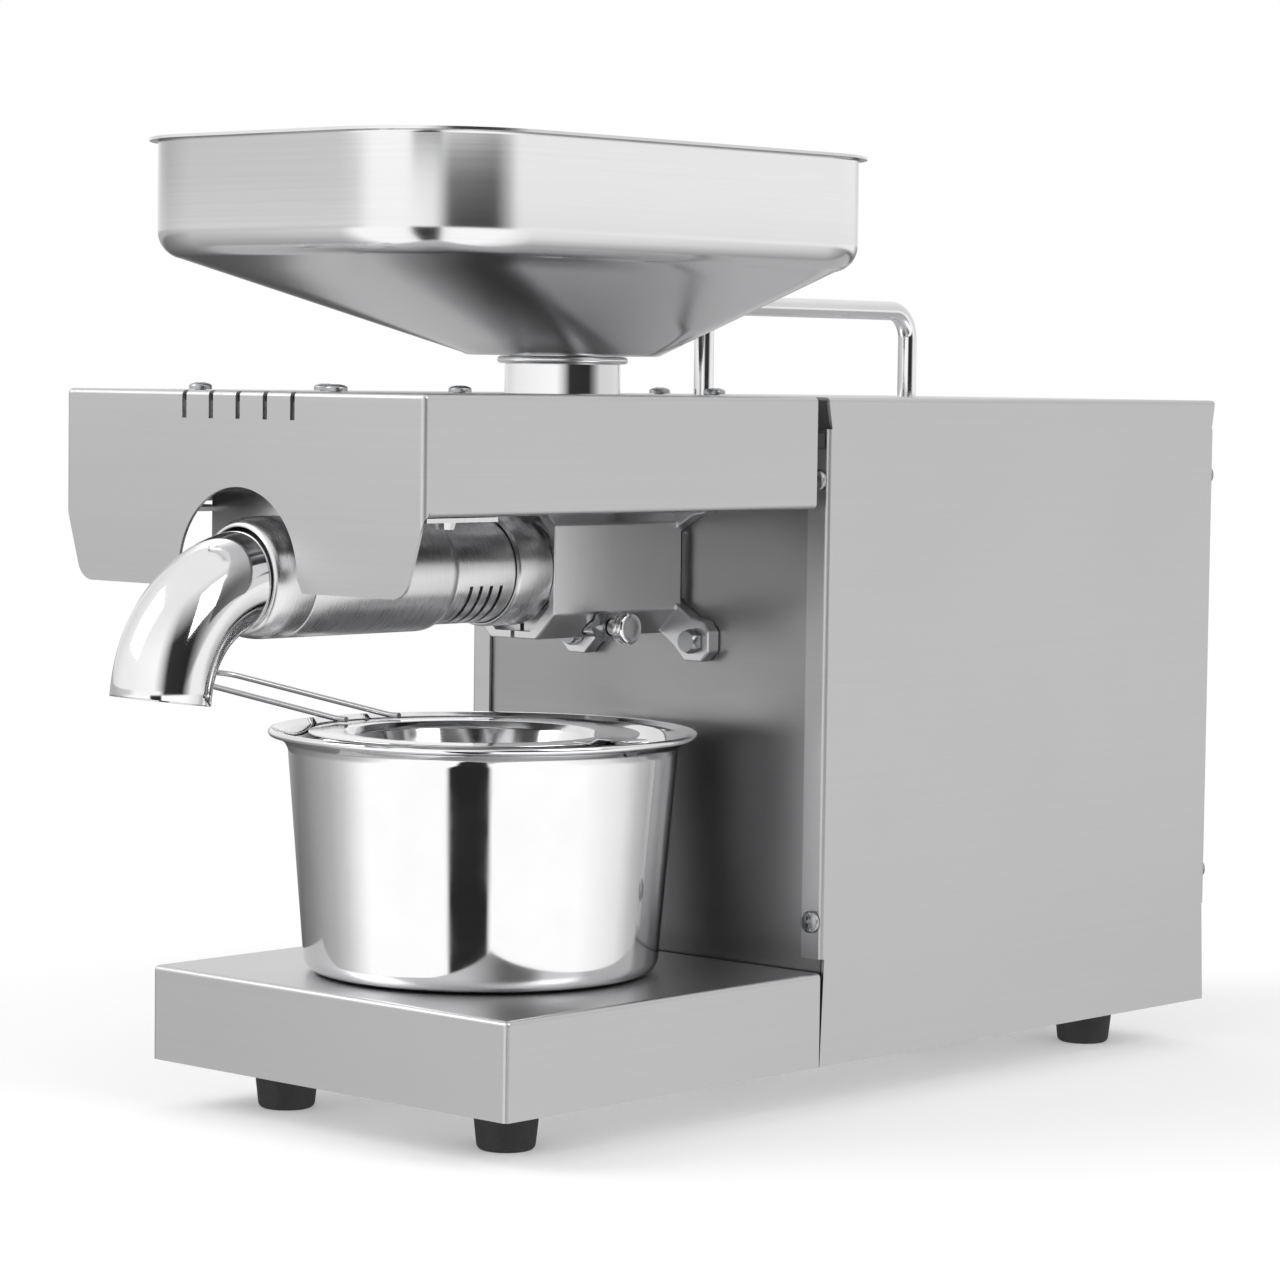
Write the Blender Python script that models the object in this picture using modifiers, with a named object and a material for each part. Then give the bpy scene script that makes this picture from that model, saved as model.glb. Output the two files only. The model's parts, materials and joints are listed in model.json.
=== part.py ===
# Screw oil press: sheet-metal body, press barrel under a hood, hopper, chute, oil pot and strainer.
#
# Frame: X across, Y along the machine with the front at -Y, Z up. The origin lies on the underside of the
# bottom plate, in the middle of the footprint. Lengths are in metres.

import math

import bmesh
import bpy
from mathutils import Matrix, Vector

# Body
BODY_WIDTH = 0.1800
TRAY_LENGTH = 0.1630
REAR_LENGTH = 0.2430
TRAY_HEIGHT = 0.0344
BODY_HEIGHT = 0.2435
SHEET = 0.0012
FOLD_RADIUS = 0.0018
SEAT = 0.0003
RUNNING = 0.0004
BOTTOM_PLATE = 0.0020
BULKHEAD_PLATE = 0.0030
BACK_PLATE = 0.0015
FLANGE_WIDTH = 0.0095
FLANGE_TOP_MARGIN = 0.0115
FLANGE_BOTTOM_MARGIN = 0.0050
FLANGE_SCREW_LOW = 0.0135
FLANGE_SCREW_HIGH = 0.0185

# Cutters run this far past what they cut
CUT_REACH = 0.0200

# Hood
HOOD_OVERHANG = 0.0413
HOOD_GAP = 0.0065
HOOD_SKIRT = 0.0402
HOOD_FACE = 0.0672
HOOD_TAPER = 0.0085
HOOD_CORNER_RADIUS = 0.0080
HOOD_RETURN = 0.0120
ARCH_RADIUS = 0.0300
ARCH_RISE = 0.0010
ARCH_FLARE = 0.0026
SLOT_COUNT = 5
SLOT_PITCH = 0.0136
SLOT_WIDTH = 0.0022
SLOT_DROP = 0.0095
SLOT_RUN = 0.0080
BEAM_WIDTH = 0.0800
BEAM_DEPTH = 0.0120
BEAM_SHEET = 0.0020
BEAM_HANDLE_GAP = 0.0068
PAD_HEIGHT = 0.0060
PAD_WIDTH = 0.0090
PAD_EDGE = 0.0006
BRACKET_DEPTH = 0.0330
BRACKET_SHEET = 0.0015
HAT_HALF_WIDTH = 0.0335
HAT_RISE = 0.0052
SADDLE_DROP = 0.0220
SADDLE_INSET = 0.0185
HOOD_SCREW_INSET = 0.0060
HOOD_SCREW_SETBACK = 0.0133
HOOD_SCREW_NECK_GAP = 0.0870
COVER_SCREW_X = 0.0140
COVER_SCREW_INSET = 0.0048
BRACKET_SCREW_SETBACK = 0.0173

# Feet and the vents in the bottom plate
FOOT_HEIGHT = 0.0172
FOOT_TOP_RADIUS = 0.0120
FOOT_BOTTOM_RADIUS = 0.0102
FOOT_EDGE = 0.0010
FOOT_RECESS_RADIUS = 0.0050
FOOT_RECESS_DEPTH = 0.0085
FOOT_INSET_X = 0.0340
PUSH_NUT_RADIUS = 0.0045
PUSH_NUT_HEIGHT = 0.0025
FOOT_INSET_Y = 0.0350
BOTTOM_VENT_HALF = 0.0300
BOTTOM_VENT_WIDTH = 0.0040
MOTOR_VENT_ROWS = 5
MOTOR_VENT_LEAD = 0.0300
GEARBOX_VENT_ROWS = 2
GEARBOX_VENT_SETBACK = 0.0100

# Press line
PRESS_DROP = 0.0635
BLOCK_LENGTH = 0.0712
BLOCK_HALF_WIDTH = 0.0210
BLOCK_TOP = 0.0260
BLOCK_BOTTOM = 0.0255
BLOCK_CHAMFER = 0.0095
BLOCK_RIM = 0.0028
BLOCK_RECESS = 0.0050
BORE_RADIUS = 0.0155
SLEEVE_RADIUS = 0.0175
SLEEVE_LENGTH = 0.0090
COLLAR_LENGTH = 0.0176
COLLAR_RADIUS = 0.0205
CAGE_LENGTH = 0.0290
CAGE_RADIUS = 0.0190
CAGE_BORE = 0.0153
SPIGOT_LENGTH = 0.0140
SPIGOT_RADIUS = 0.0172
DRAIN_SLITS = 4
DRAIN_PITCH = 0.0050
DRAIN_WIDTH = 0.0016
DRAIN_MARGIN = 0.0060
TUBE_RADIUS = 0.0210
TUBE_FILLET = 0.0045
TUBE_EDGE = 0.0010
CHOKE_LENGTH = 0.0170
CHOKE_RADIUS = 0.0170
CHOKE_THROAT = 0.0128
CHOKE_LIP = 0.0020
CAP_LENGTH = 0.0170
CAP_SETBACK = 0.0008
CAP_DOME = 0.0095
CAP_NOSE = 0.0008
CAP_FLARE = 0.0012
CAP_FLARE_DEPTH = 0.0060
CHUTE_RADIUS = 0.0170
CHUTE_WALL = 0.0012
CHUTE_BEND = 0.0420
CHUTE_TURN = math.radians(82.0)
CHUTE_TAIL = 0.0040
CHUTE_ENTRY = 0.0090
CHUTE_STEPS = 9

# Rear flange of the block
EAR_X = 0.0300
EAR_Z = 0.0275
EAR_HALF_WIDTH = 0.0075
MOUNT_PLATE = 0.0060
BOLT_RADIUS = 0.0025
BOLT_GRIP = 0.0080
BOLT_HEAD = 0.0042
BOLT_HEAD_RADIUS = 0.0046

# Press screw
FLIGHT_RADIUS = 0.0148
CORE_REAR = 0.0078
CORE_FRONT = 0.0118
TIP_RADIUS = 0.0085
PITCH_REAR = 0.0300
PITCH_FRONT = 0.0170
FLIGHT_LAND = 11.0
FLIGHT_FOOT = 30.0
FLIGHT_RUN_IN = 0.0015
FLIGHT_RUN_OUT = 0.0010
SHAFT_RADIUS = 0.0090
TAIL_LENGTH = 0.0135
TIP_LENGTH = 0.0170
BUSH_LENGTH = 0.0100
COUPLING_LENGTH = 0.0150
COUPLING_RADIUS = 0.0135
STEPS_PER_TURN = 12
CORE_POINTS = 5

# Clamp screw
CLAMP_DROP = 0.0210
CLAMP_RADIUS = 0.0030
CLAMP_REACH = 0.0102
CLAMP_DEPTH = 0.0380
KNOB_RADIUS = 0.0060
KNOB_LENGTH = 0.0048
KNOB_EDGE = 0.0008
CLAMP_NUT_RADIUS = 0.0058
CLAMP_NUT_LENGTH = 0.0048
CLAMP_SLIT = 0.0020
CLAMP_SLIT_LENGTH = 0.0360

# Feed neck and hopper
NECK_OFFSET = 0.0452
NECK_RADIUS = 0.0212
NECK_WALL = 0.0012
NECK_FLANGE = 0.0250
NECK_FLANGE_HEIGHT = 0.0030
NECK_STAND = 0.0136
FEED_RADIUS = 0.0140
HOPPER_HALF_X = 0.0832
HOPPER_HALF_Y = 0.1228
HOPPER_CORNER = 0.0460
HOPPER_SHIFT = 0.0254
HOPPER_WALL_HEIGHT = 0.0353
HOPPER_FUNNEL_HEIGHT = 0.0388
HOPPER_SHEET = 0.0010
HOPPER_LIP = 0.0031
HOPPER_LIP_DROP = 0.0006
HOPPER_KNEE_RISE = 0.0030
HOPPER_KNEE_RADIUS = 0.0098
HOPPER_KNEE_TURN = 80.0
HOPPER_FLOOR_HALF = 0.0345
HOPPER_FLOOR_CORNER = 0.0290
HOPPER_FLOOR_EDGE = 0.0030
HOPPER_FLOOR_RISE = 0.0008
SPOUT_LENGTH = 0.0100
COLLAR_RING_RADIUS = 0.0240
COLLAR_RING_HEIGHT = 0.0030
COLLAR_RING_EDGE = 0.0010

# Carry handle
HANDLE_ROD = 0.0075
HANDLE_LEG_OFFSET = 0.0350
HANDLE_SPAN = 0.1190
HANDLE_RISE = 0.0345
HANDLE_BEND = 0.0110
HANDLE_TAIL = 0.0120
HANDLE_NUT = 0.0050
HANDLE_NUT_RIM = 0.0022

# Oil pot and strainer
POT_RIM_RADIUS = 0.0776
POT_TOP_RADIUS = 0.0704
POT_BASE_RADIUS = 0.0644
POT_BASE_EDGE = 0.0060
POT_BEAD = 0.0015
POT_FLARE = 0.0072
POT_HEAD_ROOM = 0.0322
POT_SHEET = 0.0009
POT_BACK_GAP = 0.0070
STRAINER_SHIFT = 0.0045
STRAINER_RIM_RADIUS = 0.0600
STRAINER_BOWL_RADIUS = 0.0470
STRAINER_BOWL_DEPTH = 0.0130
STRAINER_BOWL_SLANT = 0.0058
STRAINER_BOWL_BEND = 0.0020
STRAINER_SHEET = 0.0008
STRAINER_MESH_RADIUS = 0.0380
STRAINER_MESH_LAP = 0.0022
STRAINER_MESH_SHEET = 0.0006
STRAINER_MESH_RISE = 0.0012
WIRE_RADIUS = 0.0011
WIRE_SPREAD = 0.0135
WIRE_REACH = 0.0985
WIRE_GRIP = 0.0130
WIRE_TILT = math.radians(6.5)
WIRE_FOOT_INSET = 0.0080
WIRE_EDGE_INSET = 0.0030
HOOK_WIDTH = 0.0100
HOOK_ROOT = 0.0060
HOOK_START = 0.0020
HOOK_RUN = 0.0040
HOOK_RIM_INSET = 0.0015

# Drive inside the rear cover
GEARBOX_HALF_WIDTH = 0.0380
GEARBOX_LENGTH = 0.0520
GEARBOX_RISE = 0.0360
GEARBOX_EDGE = 0.0100
MOTOR_AXIS_DROP = 0.0550
MOTOR_RADIUS = 0.0400
MOTOR_LENGTH = 0.1000
MOTOR_FRONT_SHOULDER = 0.0060
MOTOR_REAR_SHOULDER = 0.0080
MOTOR_SHAFT_SEAT = 0.0150
MOTOR_SHAFT_RADIUS = 0.0040
MOTOR_SHAFT_REACH = 0.0240
FAN_RADIUS = 0.0360
FAN_DEPTH = 0.0120
FAN_BLADES = 8
FAN_PLATE = 0.0016
FAN_GAP = 0.0040
CRADLE_LENGTH = 0.0400
CRADLE_HALF_WIDTH = 0.0340
CRADLE_MOTOR_GAP = 0.0060
CONTROL_BOX = (0.0640, 0.0460, 0.0380)
CONTROL_BOX_SETBACK = 0.0020
CONTROL_BOX_EDGE = 0.0020

# Back panel
INLET_X = 0.0450
INLET_Z = 0.0450
INLET_SIZE = (0.0280, 0.0220)
INLET_DEPTH = 0.0180
INLET_LIP = 0.0030
INLET_WALL = 0.0030
INLET_PIN = (0.0020, 0.0044)
INLET_PIN_PITCH = 0.0070
INLET_PIN_RISE = 0.0020
INLET_PIN_SETBACK = 0.0040
SWITCH_X = 0.0450
SWITCH_Z = 0.0450
SWITCH_PITCH = 0.0450
ROCKER_SIZE = (0.0130, 0.0200)
ROCKER_TILT = math.radians(8.0)
ROCKER_ROOM = 0.0007
ROCKER_TIP = 0.0034
ROCKER_DISH = 0.0020
ROCKER_HEEL = 0.0012
ROCKER_DEPTH = 0.0060
ROCKER_PIVOT_DEPTH = 0.0010
BEZEL_LIP = 0.0020
BEZEL_MARGIN = 0.0015
BEZEL_WALL = 0.0016
BEZEL_DEPTH = 0.0100
VENT_ROWS = 7
VENT_PITCH = 0.0100
VENT_SIZE = (0.0700, 0.0035)

# Fasteners
PAN_RADIUS = 0.0040
PAN_HEIGHT = 0.0024
SHANK_RADIUS = 0.0019
HOLE_CLEARANCE = 0.0004

# Positions that follow from the sizes
HALF_WIDTH = BODY_WIDTH / 2
PRESS_AXIS_Z = BODY_HEIGHT - PRESS_DROP
FRONT_Y = -(TRAY_LENGTH + REAR_LENGTH) / 2
SEAM_Y = FRONT_Y + TRAY_LENGTH
BACK_Y = SEAM_Y + REAR_LENGTH
INNER_X = HALF_WIDTH - SHEET - SEAT
HOOD_FRONT_Y = FRONT_Y - HOOD_OVERHANG
HOOD_REAR_Y = SEAM_Y - HOOD_GAP
HOOD_SKIRT_Z = BODY_HEIGHT - HOOD_SKIRT
UNDER_TOP_Z = BODY_HEIGHT - SHEET - SEAT
BULKHEAD_FRONT_Y = SEAM_Y + SHEET + SEAT
BULKHEAD_BACK_Y = BULKHEAD_FRONT_Y + BULKHEAD_PLATE
BACK_PLATE_REAR_Y = BACK_Y - SHEET - SEAT
BACK_PLATE_FRONT_Y = BACK_PLATE_REAR_Y - BACK_PLATE
PLATE_TOP_Z = BOTTOM_PLATE + SEAT
FLANGE_TOP_Z = BODY_HEIGHT - FLANGE_TOP_MARGIN
FLANGE_BOTTOM_Z = TRAY_HEIGHT + FLANGE_BOTTOM_MARGIN
FLANGE_SCREW_X = HALF_WIDTH - FLANGE_WIDTH / 2
FLANGE_SCREW_Z = (FLANGE_BOTTOM_Z + FLANGE_SCREW_LOW, FLANGE_TOP_Z - FLANGE_SCREW_HIGH)
BLOCK_REAR_Y = BULKHEAD_FRONT_Y - SEAT
BLOCK_FRONT_Y = BLOCK_REAR_Y - BLOCK_LENGTH
BLOCK_TOP_Z = PRESS_AXIS_Z + BLOCK_TOP
COLLAR_REAR_Y = BLOCK_FRONT_Y - SEAT
CAGE_REAR_Y = COLLAR_REAR_Y - COLLAR_LENGTH
CAGE_FRONT_Y = CAGE_REAR_Y - CAGE_LENGTH
CAP_FRONT_Y = HOOD_FRONT_Y + CAP_SETBACK
CAP_REAR_Y = CAP_FRONT_Y + CAP_LENGTH
TUBE_FRONT_Y = CAP_REAR_Y + SEAT
TUBE_REAR_Y = CAGE_FRONT_Y - SEAT
CHOKE_REAR_Y = TUBE_FRONT_Y + CHOKE_LENGTH
NECK_Y = SEAM_Y - NECK_OFFSET
NECK_BOTTOM_Z = BLOCK_TOP_Z + SEAT
NECK_TOP_Z = BODY_HEIGHT + NECK_STAND
HOPPER_FLOOR_Z = NECK_TOP_Z + SEAT
HOPPER_KNEE_Z = HOPPER_FLOOR_Z + HOPPER_FUNNEL_HEIGHT
HOPPER_TOP_Z = HOPPER_KNEE_Z + HOPPER_WALL_HEIGHT
HOPPER_Y = NECK_Y - HOPPER_SHIFT
BUSH_REAR_Y = BLOCK_REAR_Y
BUSH_FRONT_Y = BUSH_REAR_Y - BUSH_LENGTH
COUPLING_REAR_Y = BUSH_FRONT_Y - RUNNING
COUPLING_FRONT_Y = COUPLING_REAR_Y - COUPLING_LENGTH
SHAFT_FRONT_Y = COUPLING_REAR_Y - COUPLING_LENGTH / 3
SCREW_REAR_Y = SHAFT_FRONT_Y - SEAT
FLIGHT_REAR_Y = SCREW_REAR_Y - TAIL_LENGTH
FLIGHT_FRONT_Y = CHOKE_REAR_Y + RUNNING
CLAMP_Z = PRESS_AXIS_Z - CLAMP_DROP
POT_Y = SEAM_Y - POT_BACK_GAP - POT_RIM_RADIUS
POT_BASE_Z = TRAY_HEIGHT + SEAT
POT_RIM_Z = PRESS_AXIS_Z - BLOCK_BOTTOM - POT_HEAD_ROOM
POT_HEIGHT = POT_RIM_Z - POT_BASE_Z
STRAINER_Z = POT_RIM_Z - (POT_TOP_RADIUS - STRAINER_RIM_RADIUS) * math.tan(WIRE_TILT)
BEAM_TOP_Z = UNDER_TOP_Z
BEAM_HALF = BEAM_WIDTH / 2
HANDLE_FRONT_Y = SEAM_Y + HANDLE_LEG_OFFSET
BEAM_REAR_Y = HANDLE_FRONT_Y - BEAM_HANDLE_GAP
MOTOR_Z = PRESS_AXIS_Z - MOTOR_AXIS_DROP
GEARBOX_FRONT_Y = BULKHEAD_BACK_Y + SEAT
GEARBOX_REAR_Y = GEARBOX_FRONT_Y + GEARBOX_LENGTH
MOTOR_FRONT_Y = GEARBOX_REAR_Y + SEAT
MOTOR_REAR_Y = MOTOR_FRONT_Y + MOTOR_LENGTH

ALONG_X = Matrix.Rotation(math.radians(90.0), 4, "Y")
ALONG_Y = Matrix.Rotation(math.radians(-90.0), 4, "X")
ALONG_Z = Matrix.Identity(4)
FACING_FRONT = Matrix.Rotation(math.radians(90.0), 4, "X")
FACING_DOWN = Matrix.Rotation(math.radians(180.0), 4, "X")

for leftover in list(bpy.data.objects):
    bpy.data.objects.remove(leftover, do_unlink=True)

PARTS = bpy.data.collections.new("screw_oil_press")
CUTTERS = bpy.data.collections.new("cutters")
bpy.context.scene.collection.children.link(PARTS)
bpy.context.scene.collection.children.link(CUTTERS)


def linear(channel):
    """One sRGB channel as a linear value."""
    return channel / 12.92 if channel <= 0.04045 else ((channel + 0.055) / 1.055) ** 2.4


def finish(name, colour, roughness, metallic):
    """A plain finish from an sRGB hex colour."""
    made = bpy.data.materials.new(name)
    made.use_nodes = True
    shader = made.node_tree.nodes["Principled BSDF"]
    red, green, blue = (int(colour[i:i + 2], 16) / 255 for i in (1, 3, 5))
    shader.inputs["Base Color"].default_value = (linear(red), linear(green), linear(blue), 1.0)
    shader.inputs["Roughness"].default_value = roughness
    shader.inputs["Metallic"].default_value = metallic
    return made


BRUSHED = finish("brushed_stainless", "#b6b6b8", 0.38, 1.0)
POLISHED = finish("polished_stainless", "#c6c6c8", 0.10, 1.0)
SATIN = finish("satin_stainless", "#a8a8aa", 0.28, 1.0)
RUBBER = finish("black_rubber", "#2b2b2b", 0.75, 0.0)
ZINC = finish("zinc_plated_steel", "#9c9ea0", 0.35, 1.0)
CASTING = finish("cast_aluminium", "#94969a", 0.55, 1.0)
MOTOR_PAINT = finish("motor_enamel", "#3a3d42", 0.45, 0.0)
BLACK_PLASTIC = finish("black_plastic", "#1b1b1d", 0.40, 0.0)
BRONZE = finish("bearing_bronze", "#9a7b45", 0.40, 1.0)


def evaluated_mesh(source):
    """The mesh of an object with its modifiers applied."""
    bpy.context.view_layer.update()
    return bpy.data.meshes.new_from_object(source.evaluated_get(bpy.context.evaluated_depsgraph_get()))


def part(name, bm, material, origin=(0.0, 0.0, 0.0), smooth=False, collection=None):
    """An object from a bmesh in world coordinates, with its origin at the point given."""
    origin = Vector(origin)
    bmesh.ops.translate(bm, vec=-origin, verts=bm.verts)
    mesh = bpy.data.meshes.new(name)
    bm.to_mesh(mesh)
    bm.free()
    made = bpy.data.objects.new(name, mesh)
    made.location = origin
    (collection or PARTS).objects.link(made)
    if material:
        mesh.materials.append(material)
    if smooth:
        soften(mesh)
    return made


def soften(mesh):
    """Smooth shading with edges over 35 degrees kept sharp."""
    mesh.shade_smooth()
    mesh.set_sharp_from_angle(angle=math.radians(35.0))


def add_box(bm, low, high):
    """A box between two corners, added to a bmesh."""
    low, high = Vector(low), Vector(high)
    place = Matrix.Translation((low + high) / 2) @ Matrix.Diagonal((*(high - low), 1.0))
    bmesh.ops.create_cube(bm, size=1.0, matrix=place)


def add_rod(bm, radius, length, place, sides=16, radius_end=None):
    """A cylinder or cone along the local Z of a placement, from its origin upwards."""
    centred = place @ Matrix.Translation((0.0, 0.0, length / 2))
    end = radius if radius_end is None else radius_end
    bmesh.ops.create_cone(bm, cap_ends=True, segments=sides, radius1=radius, radius2=end, depth=length,
                          matrix=centred)


def box(name, low, high, material, bevel=0.0, segments=2):
    """A box object between two corners, its origin in its middle."""
    bm = bmesh.new()
    add_box(bm, low, high)
    made = part(name, bm, material, (Vector(low) + Vector(high)) / 2)
    if bevel:
        round_edges(made, bevel, segments)
    return made


def rod(name, radius, length, place, material, sides=32):
    """A cylinder object, its origin at the start of its axis."""
    bm = bmesh.new()
    add_rod(bm, radius, length, place, sides)
    return part(name, bm, material, place.translation, smooth=True)


def round_edges(target, width, segments=2, angle=30.0):
    """A Bevel on the edges sharper than an angle."""
    bevel = target.modifiers.new("rounded_edges", "BEVEL")
    bevel.width = width
    bevel.segments = segments
    bevel.limit_method = "ANGLE"
    bevel.angle_limit = math.radians(angle)
    bevel.use_clamp_overlap = True


def thicken(target, thickness, offset=-1.0):
    """A wall thickness on an open surface."""
    wall = target.modifiers.new("wall", "SOLIDIFY")
    wall.thickness = thickness
    wall.offset = offset
    wall.use_even_offset = True


def cutter(name, bm):
    """A hidden object that cuts or joins others."""
    made = part(name, bm, None, collection=CUTTERS)
    made.hide_render = True
    made.display_type = "WIRE"
    return made


def hide_as_cutter(tool):
    """Moves a finished object to the cutters."""
    PARTS.objects.unlink(tool)
    CUTTERS.objects.link(tool)
    tool.hide_render = True
    tool.display_type = "WIRE"


def boolean(target, tool, operation="DIFFERENCE"):
    """A Boolean with a tool object."""
    step = target.modifiers.new(operation.lower(), "BOOLEAN")
    step.operation = operation
    step.solver = "EXACT"
    step.object = tool


def cut_boxes(target, spans):
    """Boxes taken out of a part."""
    bm = bmesh.new()
    for low, high in spans:
        add_box(bm, low, high)
    boolean(target, cutter(target.name + "_cut_boxes", bm))


def cut_rods(target, rods, sides=16):
    """Round holes taken out of a part, each a radius, a length and a placement."""
    bm = bmesh.new()
    for radius, length, place in rods:
        add_rod(bm, radius, length, place, sides)
    boolean(target, cutter(target.name + "_cut_rods", bm))


def turned(name, outline, place, material, steps=32):
    """A revolved part: outline points are radius and height along the axis, outer side top to bottom."""
    mesh = bpy.data.meshes.new(name)
    count = len(outline)
    points = [(radius, 0.0, height) for radius, height in outline]
    on_axis = outline[0][0] == 0.0 and outline[-1][0] == 0.0
    edges = [(i, i + 1) for i in range(count - 1)] + ([] if on_axis else [(count - 1, 0)])
    mesh.from_pydata(points, edges, [])
    made = bpy.data.objects.new(name, mesh)
    made.matrix_world = place
    PARTS.objects.link(made)
    mesh.materials.append(material)
    spin = made.modifiers.new("turned", "SCREW")
    spin.axis = "Z"
    spin.steps = steps
    spin.render_steps = steps
    spin.use_merge_vertices = True
    spin.merge_threshold = 0.00002
    spin.use_smooth_shade = True
    return made


def arc(centre, radius, start, end, count):
    """Points on an arc, angles in degrees, both ends included."""
    points = []
    for i in range(count + 1):
        angle = math.radians(start + (end - start) * i / count)
        points.append((centre[0] + radius * math.cos(angle), centre[1] + radius * math.sin(angle)))
    return points


def loft(bm, rings, closed_ends):
    """Quads between rings of points, with flat ends if asked."""
    rows = [[bm.verts.new(point) for point in ring] for ring in rings]
    for upper, lower in zip(rows, rows[1:]):
        for i in range(len(upper)):
            j = (i + 1) % len(upper)
            bm.faces.new((upper[i], upper[j], lower[j], lower[i]))
    if closed_ends:
        bm.faces.new(reversed(rows[0]))
        bm.faces.new(rows[-1])
    bmesh.ops.recalc_face_normals(bm, faces=bm.faces)


def pan_screws(name, places, reach):
    """Pan head screws: each placement's +Z points out of the head, its origin lies on the seat."""
    outline = [(0.0, SEAT + PAN_HEIGHT), (PAN_RADIUS * 0.75, SEAT + PAN_HEIGHT * 0.85),
               (PAN_RADIUS, SEAT), (SHANK_RADIUS, SEAT), (SHANK_RADIUS, -reach), (0.0, -reach)]
    for number, place in enumerate(places, start=1):
        turned(f"{name}_{number}", outline, place, ZINC, steps=8)


def shank_holes(target, places):
    """Clearance holes for pan head screws."""
    radius = SHANK_RADIUS + HOLE_CLEARANCE
    start = Matrix.Translation((0.0, 0.0, -CUT_REACH / 2))
    cut_rods(target, [(radius, CUT_REACH, place @ start) for place in places], sides=8)


def hex_nut(name, place, radius, height, bore):
    """A hexagon nut that stands on its seat along the placement's +Z."""
    bm = bmesh.new()
    seat = place @ Matrix.Translation((0.0, 0.0, SEAT))
    add_rod(bm, radius, height, seat, sides=6)
    nut = part(name, bm, ZINC, seat.translation)
    cut_rods(nut, [(bore, height * 3, seat @ Matrix.Translation((0.0, 0.0, -height)))], sides=12)


def hex_bolt(name, place, radius, head, shank, reach):
    """A hexagon head bolt: the head stands on its seat along the placement's +Z."""
    bm = bmesh.new()
    add_rod(bm, radius, head, place @ Matrix.Translation((0.0, 0.0, SEAT)), sides=6)
    bolt = part(name, bm, ZINC, place.translation)
    bm = bmesh.new()
    add_rod(bm, shank, reach + SEAT + head / 2, place @ Matrix.Translation((0.0, 0.0, -reach)), sides=8)
    boolean(bolt, cutter(name + "_shank", bm), "UNION")


def at(x, y, z, turn=ALONG_Z):
    """A placement at a point, turned to face an axis."""
    return Matrix.Translation((x, y, z)) @ turn


# Base tray and bottom plate

def make_tray():
    """Folded tray with a front skirt and two side skirts."""
    rear, high = SEAM_Y - SEAT, TRAY_HEIGHT
    bm = bmesh.new()
    corner = {}
    for side in (-1, 1):
        for y in (FRONT_Y, rear):
            for z in (0.0, high):
                corner[side, y, z] = bm.verts.new((side * HALF_WIDTH, y, z))
    outlines = [
        [(-1, FRONT_Y, high), (1, FRONT_Y, high), (1, rear, high), (-1, rear, high)],
        [(-1, FRONT_Y, 0.0), (1, FRONT_Y, 0.0), (1, FRONT_Y, high), (-1, FRONT_Y, high)],
    ]
    for side in (-1, 1):
        outlines.append([(side, FRONT_Y, 0.0), (side, rear, 0.0), (side, rear, high), (side, FRONT_Y, high)])
    for outline in outlines:
        bm.faces.new([corner[key] for key in outline])
    bmesh.ops.recalc_face_normals(bm, faces=bm.faces)
    face_out(bm, Vector((0.0, (FRONT_Y + rear) / 2, 0.0)))
    tray = part("base_tray", bm, BRUSHED, (0.0, (FRONT_Y + rear) / 2, TRAY_HEIGHT))
    round_edges(tray, FOLD_RADIUS)
    thicken(tray, SHEET)


def face_out(bm, inside):
    """Turns an open shell so that its faces look away from a point inside it."""
    bm.normal_update()
    away = sum(face.normal.dot(face.calc_center_median() - inside) * face.calc_area() for face in bm.faces)
    if away < 0:
        bmesh.ops.reverse_faces(bm, faces=bm.faces)


def foot_places():
    """Centres of the four feet."""
    x = HALF_WIDTH - FOOT_INSET_X
    return {
        "foot_front_left": (-x, FRONT_Y + FOOT_INSET_Y),
        "foot_front_right": (x, FRONT_Y + FOOT_INSET_Y),
        "foot_rear_left": (-x, BACK_Y - FOOT_INSET_Y),
        "foot_rear_right": (x, BACK_Y - FOOT_INSET_Y),
    }


def bottom_vents():
    """Slots under the gearbox and under the motor's rear end, as boxes to cut."""
    rows = [GEARBOX_FRONT_Y + GEARBOX_VENT_SETBACK + row * VENT_PITCH for row in range(GEARBOX_VENT_ROWS)]
    rows += [MOTOR_REAR_Y - MOTOR_VENT_LEAD + row * VENT_PITCH for row in range(MOTOR_VENT_ROWS)]
    half = BOTTOM_VENT_WIDTH / 2
    return [((-BOTTOM_VENT_HALF, y - half, -CUT_REACH), (BOTTOM_VENT_HALF, y + half, CUT_REACH)) for y in rows]


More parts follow.
